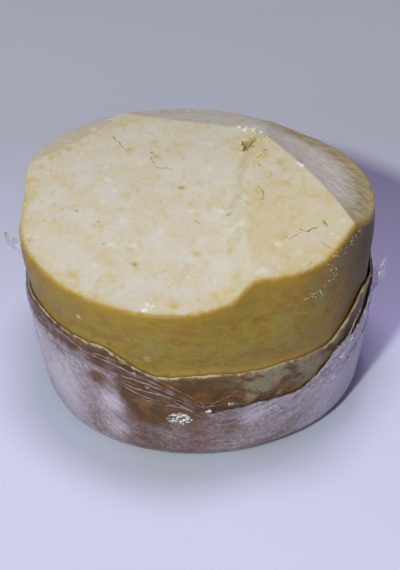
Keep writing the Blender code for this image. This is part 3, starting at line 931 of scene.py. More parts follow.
def hide_finish(settings):
    """Wet brown goat skin with rusty and grey patches and a pale cut edge."""
    n = Finish("hide")
    spot = n.place()
    patches = n.speckle(n.place((1.0, 1.0, 1.3)), 95.0, 5.0, 0.65, 0.6)
    clouds = n.speckle(n.place((1.0, 1.0, 1.4), (0.4, 0.2, 0.9)), 52.0, 5.0, 0.62, 0.4)
    grain = n.speckle(spot, 420.0, 4.0, 0.65)
    rusty = n.plus(patches, n.times(n.field("rust"), 0.16))
    mouldy = n.plus(clouds, n.times(n.field("mould_mark"), 0.13))
    colour = n.mix(settings.brown, settings.rust, n.band(rusty, 0.46, 0.64))
    mould = n.times(n.band(mouldy, 0.46, 0.60), n.band(n.field("mould"), 0.0, 1.0, 0.25, 1.0))
    colour = n.mix(colour, settings.grey, mould)
    colour = n.mix(colour, settings.pores, n.band(grain, 0.54, 0.76, 0.0, 0.75))
    # Painted shade at the skin's foot
    colour = n.mix(colour, settings.damp, n.field("damp"))
    crust = n.times(n.field("edge"), n.band(grain, 0.30, 0.60, 0.45, 1.0))
    colour = n.mix(colour, settings.edge, crust)
    n.bump(n.plus(n.times(grain, 0.7), n.times(n.cells(spot, 520.0), 0.4)), 0.6, 0.6 * MM)
    return n.shine(Base_Color=colour, Roughness=n.band(grain, 0.3, 0.7, 0.42, 0.62), Specular_IOR_Level=0.35)


def film_finish(settings):
    """Milky cling film: clearer between its folds, and white along them."""
    n = Finish("film")
    streaks = n.field("streak", "Vector")
    threads = n.speckle(streaks, 1.0, 5.0, 0.66)
    hairs = n.speckle(streaks, 3.2, 4.0, 0.65)
    grains = n.speckle(n.place(), 330.0, 4.0, 0.65, 0.6)
    folds = n.plus(n.plus(n.times(threads, 0.3), n.times(hairs, 0.3)), n.times(grains, 0.4))
    milk = n.times(n.field("haze"), n.band(folds, 0.38, 0.62, 0.72, 1.18))
    colour = n.mix(settings.clear, settings.haze, n.band(milk, 0.08, 0.64))
    n.bump(folds, 0.35, 0.6 * MM)
    alpha = n.band(milk, 0.0, 1.0, 0.03, 0.80)
    return n.shine(Base_Color=colour, Roughness=0.28, Alpha=alpha, Specular_IOR_Level=0.5)


def pleat_finish(name, settings, clear, low, high):
    """Shiny plastic of the gathered folds, with its clearer tint, least and greatest cover."""
    n = Finish(name)
    spot = n.place()
    broad = n.speckle(spot, 130.0, 3.0, 0.6)
    fine = n.speckle(spot, 620.0, 3.0, 0.6)
    colour = n.mix(clear, settings.haze, n.band(broad, 0.35, 0.65))
    n.bump(fine, 0.5, 0.5 * MM)
    alpha = n.band(broad, 0.30, 0.70, low, high)
    return n.shine(Base_Color=colour, Roughness=0.16, Alpha=alpha, Specular_IOR_Level=0.8)


# Cheese


def disc_grid():
    """Square grid pressed into a unit disc: ring shares, directions and rim order."""
    line = np.linspace(-1.0, 1.0, GRID_CELLS + 1)
    across, down = (part.ravel() for part in np.meshgrid(line, line, indexing="ij"))
    wider = np.abs(across) > np.abs(down)
    longer = np.where(wider, across, down)
    shorter = np.where(wider, down, across)
    share = np.divide(shorter, longer, out=np.zeros_like(longer), where=longer != 0.0)
    turn = np.where(wider, 0.25 * math.pi * share, 0.5 * math.pi - 0.25 * math.pi * share)
    turn = np.where(longer < 0.0, turn + math.pi, turn)
    return np.abs(longer), (turn + math.pi) % (2 * math.pi) - math.pi


def grid_faces():
    """Faces of the square grid."""
    count = GRID_CELLS + 1
    row, column = np.mgrid[0:GRID_CELLS, 0:GRID_CELLS]
    corner = row * count + column
    return np.stack((corner, corner + 1, corner + count + 1, corner + count), axis=-1).reshape(-1, 4)


def grid_border():
    """Indices round the square grid's border, in order."""
    count = GRID_CELLS + 1
    last = GRID_CELLS
    side = np.arange(last)
    return np.concatenate(
        (side, side * count + last, last * count + last - side, (last - side) * count)
    )


def crack_paths():
    """Cracks and crescents with their places on the cut face."""
    return [(seen(pixels), width * MM, depth * MM) for pixels, width, depth in CRACKS]


def refine(points, faces, close):
    """Split the faces whose corners are all close to a mark into small ones."""
    bm = bmesh.new()
    verts = [bm.verts.new(point) for point in points]
    for face in faces:
        bm.faces.new([verts[i] for i in face])
    bm.verts.index_update()
    chosen = [e for e in bm.edges if close[e.verts[0].index] and close[e.verts[1].index]]
    bmesh.ops.subdivide_edges(bm, edges=chosen, cuts=3, use_grid_fill=True)
    bm.verts.index_update()
    fine_points = np.array([vert.co for vert in bm.verts])
    fine_faces = [[vert.index for vert in face.verts] for face in bm.faces]
    bm.free()
    return fine_points, fine_faces


def pit_share(flat):
    """Distance from the crumbled pit's centre, as a share of its size."""
    east = (flat[:, 0] - PIT_CENTRE[0]) / PIT_SIZE[0]
    north = (flat[:, 1] - PIT_CENTRE[1]) / PIT_SIZE[1]
    return np.hypot(east, north) * (1.0 + 0.32 * noise(flat, 2.4 * MM, 21))


def pit_depth(flat, heights):
    """How far the crumbled pit goes below the cut."""
    share = pit_share(flat)
    floor = PIT_CENTRE[2] - PIT_SIZE[2] * np.sqrt(np.clip(1.0 - share * share, 0.0, 1.0))
    floor += 1.5 * MM * noise(flat, 1.5 * MM, 22)
    return np.where(share < 0.97, np.maximum(heights - floor, 0.0), 0.0)


def face_relief(flat, settings):
    """Unevenness of the cut face: knife waves, grain and dried strokes beyond the ridge."""
    travel, beyond = scoop_place(flat[:, 0], flat[:, 1])
    dry = step(0.0, 3.0 * MM, beyond)
    strokes = np.stack((travel / 14.0, beyond, 0.0 * beyond), axis=-1)
    relief = 0.9 * noise(flat, 26.0 * MM, 1) + 0.5 * noise(flat, 9.0 * MM, 2)
    relief += 0.35 * noise(flat, 3.4 * MM, 3) * (1.0 - 0.5 * dry)
    relief += 1.1 * dry * noise(strokes, 1.5 * MM, 4)
    holes = np.clip(noise(flat, 4.2 * MM, 5) - 0.52, 0.0, 1.0)
    return settings.relief * (relief - 1.5 * holes * (1.0 - dry))


def crumbled(flat):
    """Crumbly ground round the pit and along the left cut's edge, from 0 to 1."""
    pit = np.clip(1.6 - pit_share(flat) / 1.7, 0.0, 1.0)
    crown, _, left, _ = cut_heights(flat[:, 0], flat[:, 1])
    edge = bell(crown - left, 1.4 * MM) * step(0.0, 60 * MM, -flat[:, 0])
    return np.maximum(pit, 0.6 * edge)


def flat_distance(flat, place):
    """Level distance from points to a place."""
    return np.linalg.norm(flat - place * (1.0, 1.0, 0.0), axis=1)


def fine_spots(flat, ring, spacing, cracks, dimples):
    """Which points lie so close to a mark that the grid has to be finer there."""
    close = pit_share(flat) < 2.6
    for path, width, _ in cracks:
        close |= path_distance(flat, path * (1.0, 1.0, 0.0)) < 3.2 * width
    for place, size, _ in dimples:
        close |= flat_distance(flat, place) < 1.9 * size
    return close & (ring < 1.0 - 6.0 * spacing)


def cut_face(settings, rim_reach, rim_height):
    """Points, faces and fields of the trimmed top."""
    ring, angle = disc_grid()
    last = len(RIM_STEPS) - 1
    spacing = 2.0 / GRID_CELLS
    knots = np.concatenate(((0.0,), 1.0 - spacing * np.arange(last, -1, -1)))
    shares = np.concatenate(((0.0,), 1.0 - RIM_STEPS / WHEEL_RADIUS))
    span = np.interp(ring, knots, shares) * rim_reach(angle)
    shift = lean(rim_height(angle)) * ring
    flat = np.stack((shift + span * np.sin(angle), -span * np.cos(angle), 0.0 * span), axis=-1)
    cracks = crack_paths()
    dimples = photo_marks(DIMPLES)
    flat, faces = refine(flat, grid_faces(), fine_spots(flat, ring, spacing, cracks, dimples))

    x, y = flat[:, 0], flat[:, 1]
    angle = np.arctan2(x, -y)
    inward = np.maximum(rim_reach(angle) - np.hypot(x, y), 0.0)
    height = cut_height(x, y)
    rounding = settings.rim_round * (1.0 + 0.5 * noise(flat, 7.0 * MM, 6))
    slack = np.clip(rounding - inward, 0.0, None)
    drop = rounding - np.sqrt(np.clip(rounding**2 - slack**2, 0.0, None))
    inner = step(1.0 * MM, 5.0 * MM, inward)
    # Painted shade for the cracks, dimples and pit, darker where they go deeper
    crevice = np.zeros(len(flat))
    lowered = drop - inner * face_relief(flat, settings)
    for path, width, depth in cracks:
        away = path_distance(flat, path * (1.0, 1.0, 0.0)) * (1.0 + 0.3 * noise(flat, 1.1 * MM, 7))
        lowered += depth * bell(away, 0.6 * width)
        shade = bell(away, 0.8 * width) * (0.7 + 0.5 * noise(flat, 2.0 * MM, 15))
        crevice = np.maximum(crevice, shade * depth / (0.95 * MM))
    for place, size, strength in dimples:
        bowl = bell(flat_distance(flat, place), size) * strength
        lowered += 1.1 * MM * bowl
        crevice = np.maximum(crevice, 0.75 * bowl)
    rough = crumbled(flat)
    lumps = np.abs(noise(flat, 2.6 * MM, 8)) + 0.5 * np.abs(noise(flat, 1.2 * MM, 9))
    lowered += rough * inner * MM * (0.9 * lumps - 0.45)
    pit = pit_depth(flat, height)
    lowered = np.where(pit > 0.0, np.maximum(lowered, pit), lowered)
    crevice = np.maximum(crevice, step(0.8 * MM, 6.0 * MM, pit) * 0.8)
    points = flat + np.stack((0.0 * x, 0.0 * x, height - lowered), axis=-1)

    crown, back, left_side, scooped = cut_heights(x, y)
    scoop = step(-0.2 * MM, 0.5 * MM, np.minimum.reduce((crown, back, left_side)) - scooped)
    outer = step(-0.2 * MM, 0.5 * MM, crown - back)
    # Where the left cut's face gets its painted grey shade
    line = seen(LEFT_BORDER)
    line = line[np.argsort(line[:, 0])]
    beyond_line = y - np.interp(x, line[:, 0], line[:, 1], left=1.0, right=1.0)
    left = step(-1.0 * MM, 1.5 * MM, beyond_line + 1.5 * MM * noise(flat, 4.0 * MM, 16))
    warm = step(0.0, 16.0 * MM, x - CREASE_X - CREASE_BEND * (y - CREASE_Y) ** 2)
    bright = plateau(BRIGHT_RIM, angle)
    glow_width = (4.6 + 2.0 * noise(flat, 9.0 * MM, 10)) * MM
    glow = (0.9 + 0.2 * noise(flat, 3.0 * MM, 13)) * np.exp(-np.maximum(inward - 1.0 * MM, 0.0) / glow_width)
    glow *= 0.25 + 0.75 * plateau(YELLOW_RIM, angle)
    stain = np.maximum(near_marks(points, photo_marks(STAINS)), 0.45 * rough)
    waxy = step(0.2 * MM, 4.4 * MM, inward + 0.6 * MM * noise(flat, 2.5 * MM, 14))
    beyond = scoop_place(x, y)[1] > 0.0
    fields = {
        "wall": bright * (1.0 - waxy),
        "warm": warm * (1.0 - 0.8 * step(-45.0 * MM, 25.0 * MM, y)),
        "outer": step(28.0 * MM, 4.0 * MM, inward) * step(30.0 * MM, 80.0 * MM, x) * beyond,
        "rim": 0.8 * bright,
        "stain": np.clip(np.maximum(stain, glow), 0.0, 1.0),
        "chalk": 0.75 * near_marks(points, photo_marks(CHALK)),
        "scoop": np.clip(scoop + 0.95 * outer, 0.0, 1.0),
        "left": 0.9 * left,
        "crevice": np.clip(crevice, 0.0, 1.0),
    }
    return points, faces, fields


def side_rows(rim):
    """Rows of points down the side, under the skin, round the corner and to the floor."""
    angle = np.arctan2(rim[:, 0], -rim[:, 1])
    top = rim[:, 2]
    edge = skin_edge(angle) + SWELL_START
    rows = []
    for row in range(1, WALL_ROWS + 1):
        height = top + (edge - top) * row / WALL_ROWS
        rows.append(wall_point(angle, height, cheese_inset(angle, height)))
    for share in HIDDEN_ROWS:
        rows.append(wall_point(angle, CORNER_RADIUS + (edge - CORNER_RADIUS) * share, CHEESE_INSET))
    return rows + [corner_row(angle, CHEESE_INSET, turn) for turn in CORNER_TURNS]


def make_cheese(settings):
    """The wheel with its trimmed top, marks and waxy side."""
    directions = np.linspace(-math.pi, math.pi, RIM_DIRECTIONS)
    radii, heights = rim_of(directions)

    def rim_reach(angle):
        return np.interp(angle, directions, radii)

    def rim_height(angle):
        return np.interp(angle, directions, heights)

    points, faces, fields = cut_face(settings, rim_reach, rim_height)
    border = grid_border()
    rows = side_rows(points[border])
    side = np.concatenate(rows)
    depth = np.tile(points[border, 2], len(rows)) - side[:, 2]
    outward = side * (1.0, 1.0, 0.0)
    outward /= np.linalg.norm(outward, axis=1)[:, None]
    direction = np.arctan2(side[:, 0], -side[:, 1])
    bare = side[:, 2] - skin_edge(direction) - SWELL_START
    swells = 0.55 * noise(side, 30.0 * MM, 11) + 0.25 * noise(side, 8.0 * MM, 12)
    fade = step(0.0, 4.0 * MM, bare) * step(0.0, 2.0 * MM, depth)
    side = side + outward * (MM * 0.7 * swells * fade)[:, None]

    first = len(points)
    columns = len(border)
    for i in range(columns):
        after = (i + 1) % columns
        faces.append([int(border[i]), int(border[after]), first + after, first + i])
    faces += ring_faces(len(rows), columns, first)
    base = first + len(side)
    foot = side[-columns:].mean(axis=0)
    faces += fan_faces(base, list(range(base - columns, base)))
    lower = {
        "wall": np.ones(len(side)),
        "rim": np.exp(-depth / (6.5 * MM)) * plateau(BRIGHT_RIM, direction),
        # Painted shade: the wall darker on the side away from the key lamp
        "lee": plateau(PAINTED_SHADE_SIDE, direction),
        # Painted light: a golden glow on the wall just above the skin's edge
        "foot": bell(bare, 3.5 * MM) * plateau(PAINTED_GLOW_SPAN, direction),
        "red": near_marks(side, photo_marks(REDDISH_MARKS)),
        "pale": near_marks(side, photo_marks(PALE_MARKS)),
        "green": near_marks(side, photo_marks(GREENISH_MARKS)),
    }
    for field in {**fields, **lower}:
        top = fields.get(field, np.zeros(first))
        last = (float(field == "wall"),)
        fields[field] = np.concatenate((top, lower.get(field, np.zeros(len(side))), last))
    everything = np.concatenate((points, side, foot[None, :]))
    cut = 1.0 - fields["wall"]
    fields["crumbs"] = near_marks(everything, photo_marks(YELLOW_CRUMBS)) * cut
    fields["white_crumbs"] = near_marks(everything, photo_marks(WHITE_CRUMBS)) * cut
    fields["flecks"] = (0.12 + fields["chalk"]) * cut
    fields["drops"] = bell(path_distance(everything, seen(DROP_TRAIL)), 2.4 * MM) * fields["wall"]
    mesh = new_mesh("cheese_wheel", everything, faces, cheese_finish(settings), fields)
    return new_object("cheese_wheel", mesh)


# Skin and film


def cup_circle():
    """Directions round a cup, and points on a circle for its random fields."""
    angle = np.linspace(-math.pi, math.pi, CUP_COLUMNS, endpoint=False)
    return angle, np.stack((np.sin(angle), np.cos(angle), 0.0 * angle), axis=-1) * WHEEL_RADIUS


def cup_rows(angle, inset, thickness, edge, outer_shares, inner_shares, hem):
    """Rows of a cup from its inner floor over its edge and down to the floor it stands on."""
    inner = inset + thickness
    rows = [corner_row(angle, inner, turn) for turn in reversed(CORNER_TURNS)]
    for share in inner_shares:
        rows.append(wall_point(angle, CORNER_RADIUS + (edge - CORNER_RADIUS) * share, inner))
    for inward, drop in hem:
        rows.append(wall_point(angle, edge - drop * MM, inset + inward * MM))
    for share in outer_shares:
        rows.append(wall_point(angle, CORNER_RADIUS + (edge - CORNER_RADIUS) * share, inset))
    return rows + [corner_row(angle, inset, turn) for turn in CORNER_TURNS]


def cup_mesh(name, rows, floors, material, fields):
    """Close rows of a cup with a point on its inner and its outer floor."""
    columns = len(rows[0])
    points = np.concatenate(rows)
    centre = points[-columns:].mean(axis=0)
    middles = np.array([(centre[0], centre[1], floor) for floor in floors])
    faces = ring_faces(len(rows), columns)
    faces += fan_faces(len(points), list(range(columns)))
    faces += fan_faces(len(points) + 1, list(range(len(points) - columns, len(points))))
    fields = {
        key: np.concatenate((values, np.zeros((2, *values.shape[1:])))) for key, values in fields.items()
    }
    return new_mesh(name, np.concatenate((points, middles)), faces, material, fields)


def make_hide(settings):
    """The goat skin: a thick cup with wrinkles, patches and a pale cut edge."""
    angle, circle = cup_circle()
    edge = skin_edge(angle) + 0.7 * MM * noise(circle, 9.0 * MM, 31) + 0.3 * MM * noise(circle, 3.0 * MM, 32)
    shares = np.linspace(0.985, 0.03, 50), np.linspace(0.1, 0.97, 9)
    rows = cup_rows(angle, SKIN_INSET, SKIN_THICKNESS, edge, *shares, SKIN_HEM)
    points = np.concatenate(rows)
    direction = direction_of(points)
    depth = np.tile(edge, len(rows)) - points[:, 2]
    inset = wall_radius(direction, points[:, 2]) - np.hypot(points[:, 0] - lean(points[:, 2]), points[:, 1])
    outside = step(SKIN_INSET + 1.2 * MM, SKIN_INSET + 0.2 * MM, inset)
    wrinkles = 0.9 * noise(points * (1.0, 1.0, 1.6), 14.0 * MM, 33) + 0.5 * noise(points, 5.0 * MM, 34)
    wrinkles -= 0.9 * step(0.3, 1.0, creases(points * (1.0, 1.0, 2.2), 12.0 * MM, 35))
    high = step(CORNER_RADIUS, 2.5 * CORNER_RADIUS, points[:, 2])
    move = settings.relief * wrinkles * outside * high
    flare = plateau(SKIN_FLARE_SPAN, direction) * np.exp(-depth / (5.0 * MM))
    ruffle = 0.6 + 0.4 * noise(points * (1.0, 1.0, 0.2), 11.0 * MM, 36)
    move += settings.flare * flare * ruffle
    fold = hill(SKIN_FOLD_AT, SKIN_FOLD_WIDTH, direction) * step(24 * MM, 4 * MM, depth) * outside
    move += 1.0 * MM * fold
    moved = points + outward_of(direction) * move[:, None]
    ragged = 0.8 * MM + 1.2 * MM * noise(points, 3.0 * MM, 37) + 0.5 * MM * noise(points, 1.3 * MM, 39)
    pale = step(ragged + 0.5 * MM, ragged - 0.3 * MM, depth) * (0.35 + 0.65 * outside)
    crust = 0.35 * step(4.0 * MM, 0.8 * MM, depth) * np.clip(noise(points, 4.0 * MM, 38) + 0.3, 0.0, 1.0)
    fields = {
        "edge": np.clip(np.maximum(pale, crust) + 0.35 * fold, 0.0, 1.0),
        "mould": plateau(MOULD_SPAN, direction),
        "mould_mark": near_marks(points, photo_marks(MOULD_MARKS)),
        "rust": near_marks(points, photo_marks(RUST_MARKS)),
        # Painted shade at the skin's foot, towards the front right
        "damp": plateau(UNDERSIDE_SHADE_SPAN, direction) * step(8.0 * MM, 3.0 * MM, points[:, 2]),
    }
    floors = (SKIN_INSET + SKIN_THICKNESS, SKIN_INSET)
    mesh = cup_mesh("goat_skin", np.split(moved, len(rows)), floors, hide_finish(settings), fields)
    return new_object("goat_skin", mesh)


def streak_field(points):
    """Coordinates that run along the film's streaks, stretched so that noise follows them."""
    table = np.radians(np.linspace(-180, 180, 721))
    slopes = np.interp(np.degrees(table), *zip(*STREAK_SLOPES))
    climbs = (slopes[1:] + slopes[:-1]) / 2 * np.diff(table)
    rises = WHEEL_RADIUS * np.concatenate(((0.0,), np.cumsum(climbs)))
    rises -= rises[-1] * (table + math.pi) / (2 * math.pi)
    across = points[:, 2] - np.interp(direction_of(points), table, rises)
    return np.stack((points[:, 0] / 26.0, points[:, 1] / 26.0, across / 2.6), axis=-1) / MM


def film_haze(points):
    """How milky the film is, from 0 to 1."""
    angle = np.degrees(np.arctan2(points[:, 0], -points[:, 1]))
    haze = np.interp(angle, *zip(*FILM_MILK))
    for place, radius, change in photo_marks(HAZE_PATCHES):
        away = ((points - place) ** 2).sum(axis=1)
        haze += change * np.exp(-away / radius**2)
    haze += 0.10 * noise(points, 22.0 * MM, 41)
    # Clear foot at the front right, so that the painted shade on the skin's foot shows through
    haze *= 1.0 - 0.9 * plateau(SHADOWED_FOOT, angle) * step(9.0 * MM, 4.0 * MM, points[:, 2])
    return np.clip(haze, 0.03, 1.0)


def film_crumple(points, depth):
    """Where the film is crumpled rather than streaked, from 0 to 1."""
    angle = direction_of(points)
    right = plateau(RUFFLED_RIGHT, angle) * step(26 * MM, 2 * MM, depth)
    left = 0.6 * plateau(RUFFLED_LEFT, angle) * step(12 * MM, 2 * MM, depth)
    patches = near_marks(points, photo_marks(SPARKLE_PATCHES))
    return np.maximum.reduce((right, left, patches, 0.35 * step(14 * MM, 2 * MM, depth)))


def make_film(settings):
    """The cling film: a thin double-faced cup, wrinkled along its streaks."""
    angle, circle = cup_circle()
    ragged = 0.8 * MM * noise(circle, 6.0 * MM, 42) + 0.4 * MM * noise(circle, 2.0 * MM, 43)
    veil = plateau(VEIL_SPAN, angle) * np.maximum(skin_edge(angle) - VEIL_DROP - film_edge(angle), 0.0)
    edge = film_edge(angle) + ragged + veil
    shares = np.concatenate((np.linspace(1.0, 0.72, 22), np.linspace(0.70, 0.02, 34)))
    rows = cup_rows(angle, FILM_INSET, settings.thickness, edge, shares, shares[::-1], ())
    points = np.concatenate(rows)
    direction = direction_of(points)
    depth = np.tile(edge, len(rows)) - points[:, 2]
    skeleton = wall_point(direction, points[:, 2], 0.0)
    streaks = streak_field(skeleton)
    wrinkle = 0.65 * creases(streaks, 1.0, 44) + 0.35 * creases(streaks, 0.45, 45)
    rumple = 0.6 * creases(skeleton, 6.0 * MM, 46) + 0.4 * creases(skeleton, 2.8 * MM, 47)
    crumpled = film_crumple(skeleton, depth)
    high = step(0.6 * CORNER_RADIUS, 1.8 * CORNER_RADIUS, points[:, 2])
    move = high * (settings.wrinkle * (wrinkle - 0.35) + settings.crumple * crumpled * (rumple - 0.2))
    rope_depth = depth - np.tile(veil, len(rows))
    gathered = step(1.1 * ROPE_HEIGHT, 0.5 * ROPE_HEIGHT, rope_depth) * step(-3.0 * MM, 0.5 * MM, rope_depth)
    move += (rope_swell(direction) + 0.8 * MM * crumpled) * gathered
    moved = points + outward_of(direction) * np.maximum(move, -0.35 * MM)[:, None]
    ridge = np.clip(wrinkle * 0.5 + crumpled * rumple * 0.5, 0.0, 1.0)
    loose = step(1.0 * MM, -1.5 * MM, rope_depth)
    # Painted highlight: crests of the crumpled ruffles made milkier, on top of the film's own haze
    white = 0.5 * crumpled * step(0.45, 0.85, rumple) * plateau(RUFFLE_SHEEN, direction)
    haze = film_haze(skeleton) * (0.85 + 0.3 * ridge) * (1.0 - 0.45 * loose) + white
    fields = {"haze": np.clip(haze, 0.0, 1.0), "streak": streaks}
    floors = (FILM_INSET + settings.thickness, FILM_INSET)
    mesh = cup_mesh("cling_film_wrap", np.split(moved, len(rows)), floors, film_finish(settings), fields)
    return new_object("cling_film_wrap", mesh)


# Geometry Nodes


def new_tree(name, **sockets):
    """A geometry tree with named inputs, and the outputs of its group input."""
    tree = bpy.data.node_groups.new(name, "GeometryNodeTree")
    for socket, kind in (("Geometry", "Geometry"), *sockets.items()):
        tree.interface.new_socket(socket, in_out="INPUT", socket_type="NodeSocket" + kind)
    tree.interface.new_socket("Geometry", in_out="OUTPUT", socket_type="NodeSocketGeometry")
    return tree, tree.nodes.new("NodeGroupInput").outputs


def close_tree(tree, geometry, material):
    """End a tree in Realize Instances and Set Material."""
    real = add_node(tree, "GeometryNodeRealizeInstances", {"Geometry": geometry}).outputs[0]
    painted = add_node(tree, "GeometryNodeSetMaterial", {"Geometry": real, "Material": material}).outputs[0]
    add_node(tree, "NodeGroupOutput", {"Geometry": painted})


def run_tree(name, data, tree, values):
    """Run a tree on an object's data and keep the result as a plain mesh."""
    holder = new_object(name + "_source", data)
    modifier = holder.modifiers.new(name, "NODES")
    modifier.node_group = tree
    for item in tree.interface.items_tree:
        if item.in_out == "INPUT" and item.name in values:
            modifier[item.identifier] = values[item.name]
    evaluated = holder.evaluated_get(bpy.context.evaluated_depsgraph_get())
    mesh = bpy.data.meshes.new_from_object(evaluated)
    mesh.name = name
    bpy.data.objects.remove(holder)
    return new_object(name, mesh)


def scatter_tree():
    """Uneven grains strewn over a mesh where an attribute is high."""
    tree, given = new_tree(
        "grain_scatter",
        Where="String",
        Density="Float",
        Seed="Int",
        Smallest="Float",
        Largest="Float",
        Flatness="Float",
        Unevenness="Float",
        Subdivisions="Int",
        Material="Material",
    )

    def add(kind, inputs, **settings):
        return add_node(tree, kind, inputs, **settings).outputs

    def product(first, second):
        return add("ShaderNodeMath", {0: first, 1: second}, operation="MULTIPLY")[0]

    where = add("GeometryNodeInputNamedAttribute", {"Name": given["Where"]}, data_type="FLOAT")["Attribute"]
    strewn = {"Mesh": given["Geometry"], "Density": product(where, given["Density"]), "Seed": given["Seed"]}
    points = add("GeometryNodeDistributePointsOnFaces", strewn, distribute_method="RANDOM")
    sizes = {2: given["Smallest"], 3: given["Largest"], "Seed": given["Seed"]}
    size = add("FunctionNodeRandomValue", sizes, data_type="FLOAT")[1]
    scale = add("ShaderNodeCombineXYZ", {"X": size, "Y": size, "Z": product(size, given["Flatness"])})[0]
    spins = {0: (0.0, 0.0, 0.0), 1: (0.0, 0.0, FULL_TURN), "Seed": given["Seed"]}
    spin = add("FunctionNodeRandomValue", spins, data_type="FLOAT_VECTOR")[0]
    turned = {"Rotation": points["Rotation"], "Rotate By": spin}
    turn = add("FunctionNodeRotateRotation", turned, rotation_space="LOCAL")[0]
    grain = add("GeometryNodeMeshIcoSphere", {"Radius": 0.5, "Subdivisions": given["Subdivisions"]})["Mesh"]
    placed = {"Points": points["Points"], "Instance": grain, "Rotation": turn, "Scale": scale}
    grains = add("GeometryNodeInstanceOnPoints", placed)[0]
    real = add("GeometryNodeRealizeInstances", {"Geometry": grains})[0]
    place = add("GeometryNodeInputPosition", {})[0]
    lumps = add("ShaderNodeTexNoise", {"Vector": place, "Scale": 900.0, "Detail": 2.0})["Color"]
    centred = add("ShaderNodeVectorMath", {0: lumps, 1: (0.5, 0.5, 0.5)}, operation="SUBTRACT")[0]
    pushed = add("ShaderNodeVectorMath", {0: centred, "Scale": given["Unevenness"]}, operation="SCALE")[0]
    shaped = add("GeometryNodeSetPosition", {"Geometry": real, "Offset": pushed})[0]
    close_tree(tree, shaped, given["Material"])
    return tree


def pleat_tree():
    """Tapered folds along curves, each as thick as its curve's radius says."""
    tree, given = new_tree("film_pleat", Sides="Int", Material="Material")
    circle = {"Resolution": given["Sides"], "Radius": 1.0}
    profile = add_node(tree, "GeometryNodeCurvePrimitiveCircle", circle).outputs["Curve"]
    radius = add_node(tree, "GeometryNodeInputRadius", {}).outputs["Radius"]
    sweep = {"Curve": given["Geometry"], "Profile Curve": profile, "Scale": radius, "Fill Caps": True}
    swept = add_node(tree, "GeometryNodeCurveToMesh", sweep)
    smooth = add_node(tree, "GeometryNodeSetShadeSmooth", {"Geometry": swept.outputs["Mesh"]})
    close_tree(tree, smooth.outputs["Geometry"], given["Material"])
    return tree


def smooth_path(points, count):
    """Points along a smooth curve through a few points."""
    points = np.vstack((2 * points[0] - points[1], points, 2 * points[-1] - points[-2]))
    result = []
    for travel in np.linspace(0.0, len(points) - 3.001, count):
        start = int(travel)
        t = travel - start
        a, b, c, d = points[start : start + 4]
        result.append(
            0.5 * (2 * b + (c - a) * t + (2 * a - 5 * b + 4 * c - d) * t * t + (3 * b - a - 3 * c + d) * t**3)
        )
    return np.array(result)


def rope_lift(angle, height):
    """How far the gathered rope stands out at a height."""
    return rope_swell(angle) * step(1.4 * ROPE_HEIGHT, 0.8 * ROPE_HEIGHT, film_edge(angle) - height)


def fold_curves(name, table, seed, wobble):
    """Curves of the film's folds, lying on the film, thin at their ends."""
    curves = bpy.data.curves.new(name, "CURVE")
    curves.dimensions = "3D"
    for number, (pixels, thick, lift) in enumerate(table):
        path = smooth_path(seen(pixels), FOLD_STEPS * (len(pixels) - 1))
        count = len(path)
        share = np.linspace(0.0, 1.0, count)
        places = np.stack((share * count * 2.2 * MM, share * 0, share * 0 + number), axis=-1)
        jitter = noise(places, 4 * MM, seed)
        angle = direction_of(path)
        height = path[:, 2] + wobble * MM * jitter
        taper = np.sin(math.pi * np.clip(share, 0.02, 0.98)) ** 0.45
        radius = 0.75 * thick * MM * taper * (1.0 + 0.35 * jitter)
        out = rope_lift(angle, height) * 0.35 + lift * MM * taper - 0.3 * MM
        path = wall_point(angle, height, -out)
        spline = curves.splines.new("POLY")
        spline.points.add(count - 1)
        spline.points.foreach_set("co", np.column_stack((path, np.ones(count))).ravel())
        spline.points.foreach_set("radius", radius)
    return curves


def sheet_faces(columns, rows):
    """Faces of both sides of a thin sheet and of the strip round its edge."""
    count = columns * rows
    row, column = np.mgrid[0 : rows - 1, 0 : columns - 1]
    corner = (row * columns + column).ravel()
    front = np.stack((corner, corner + 1, corner + columns + 1, corner + columns), axis=-1)
    back = front[:, ::-1] + count
    border = list(range(columns))
    border += [r * columns + columns - 1 for r in range(1, rows)]
    border += [(rows - 1) * columns + c for c in range(columns - 2, -1, -1)]
    border += [r * columns for r in range(rows - 2, 0, -1)]
    after = border[1:] + border[:1]
    strip = [(a, b, b + count, a + count) for a, b in zip(border, after)]
    return front.tolist() + back.tolist() + strip


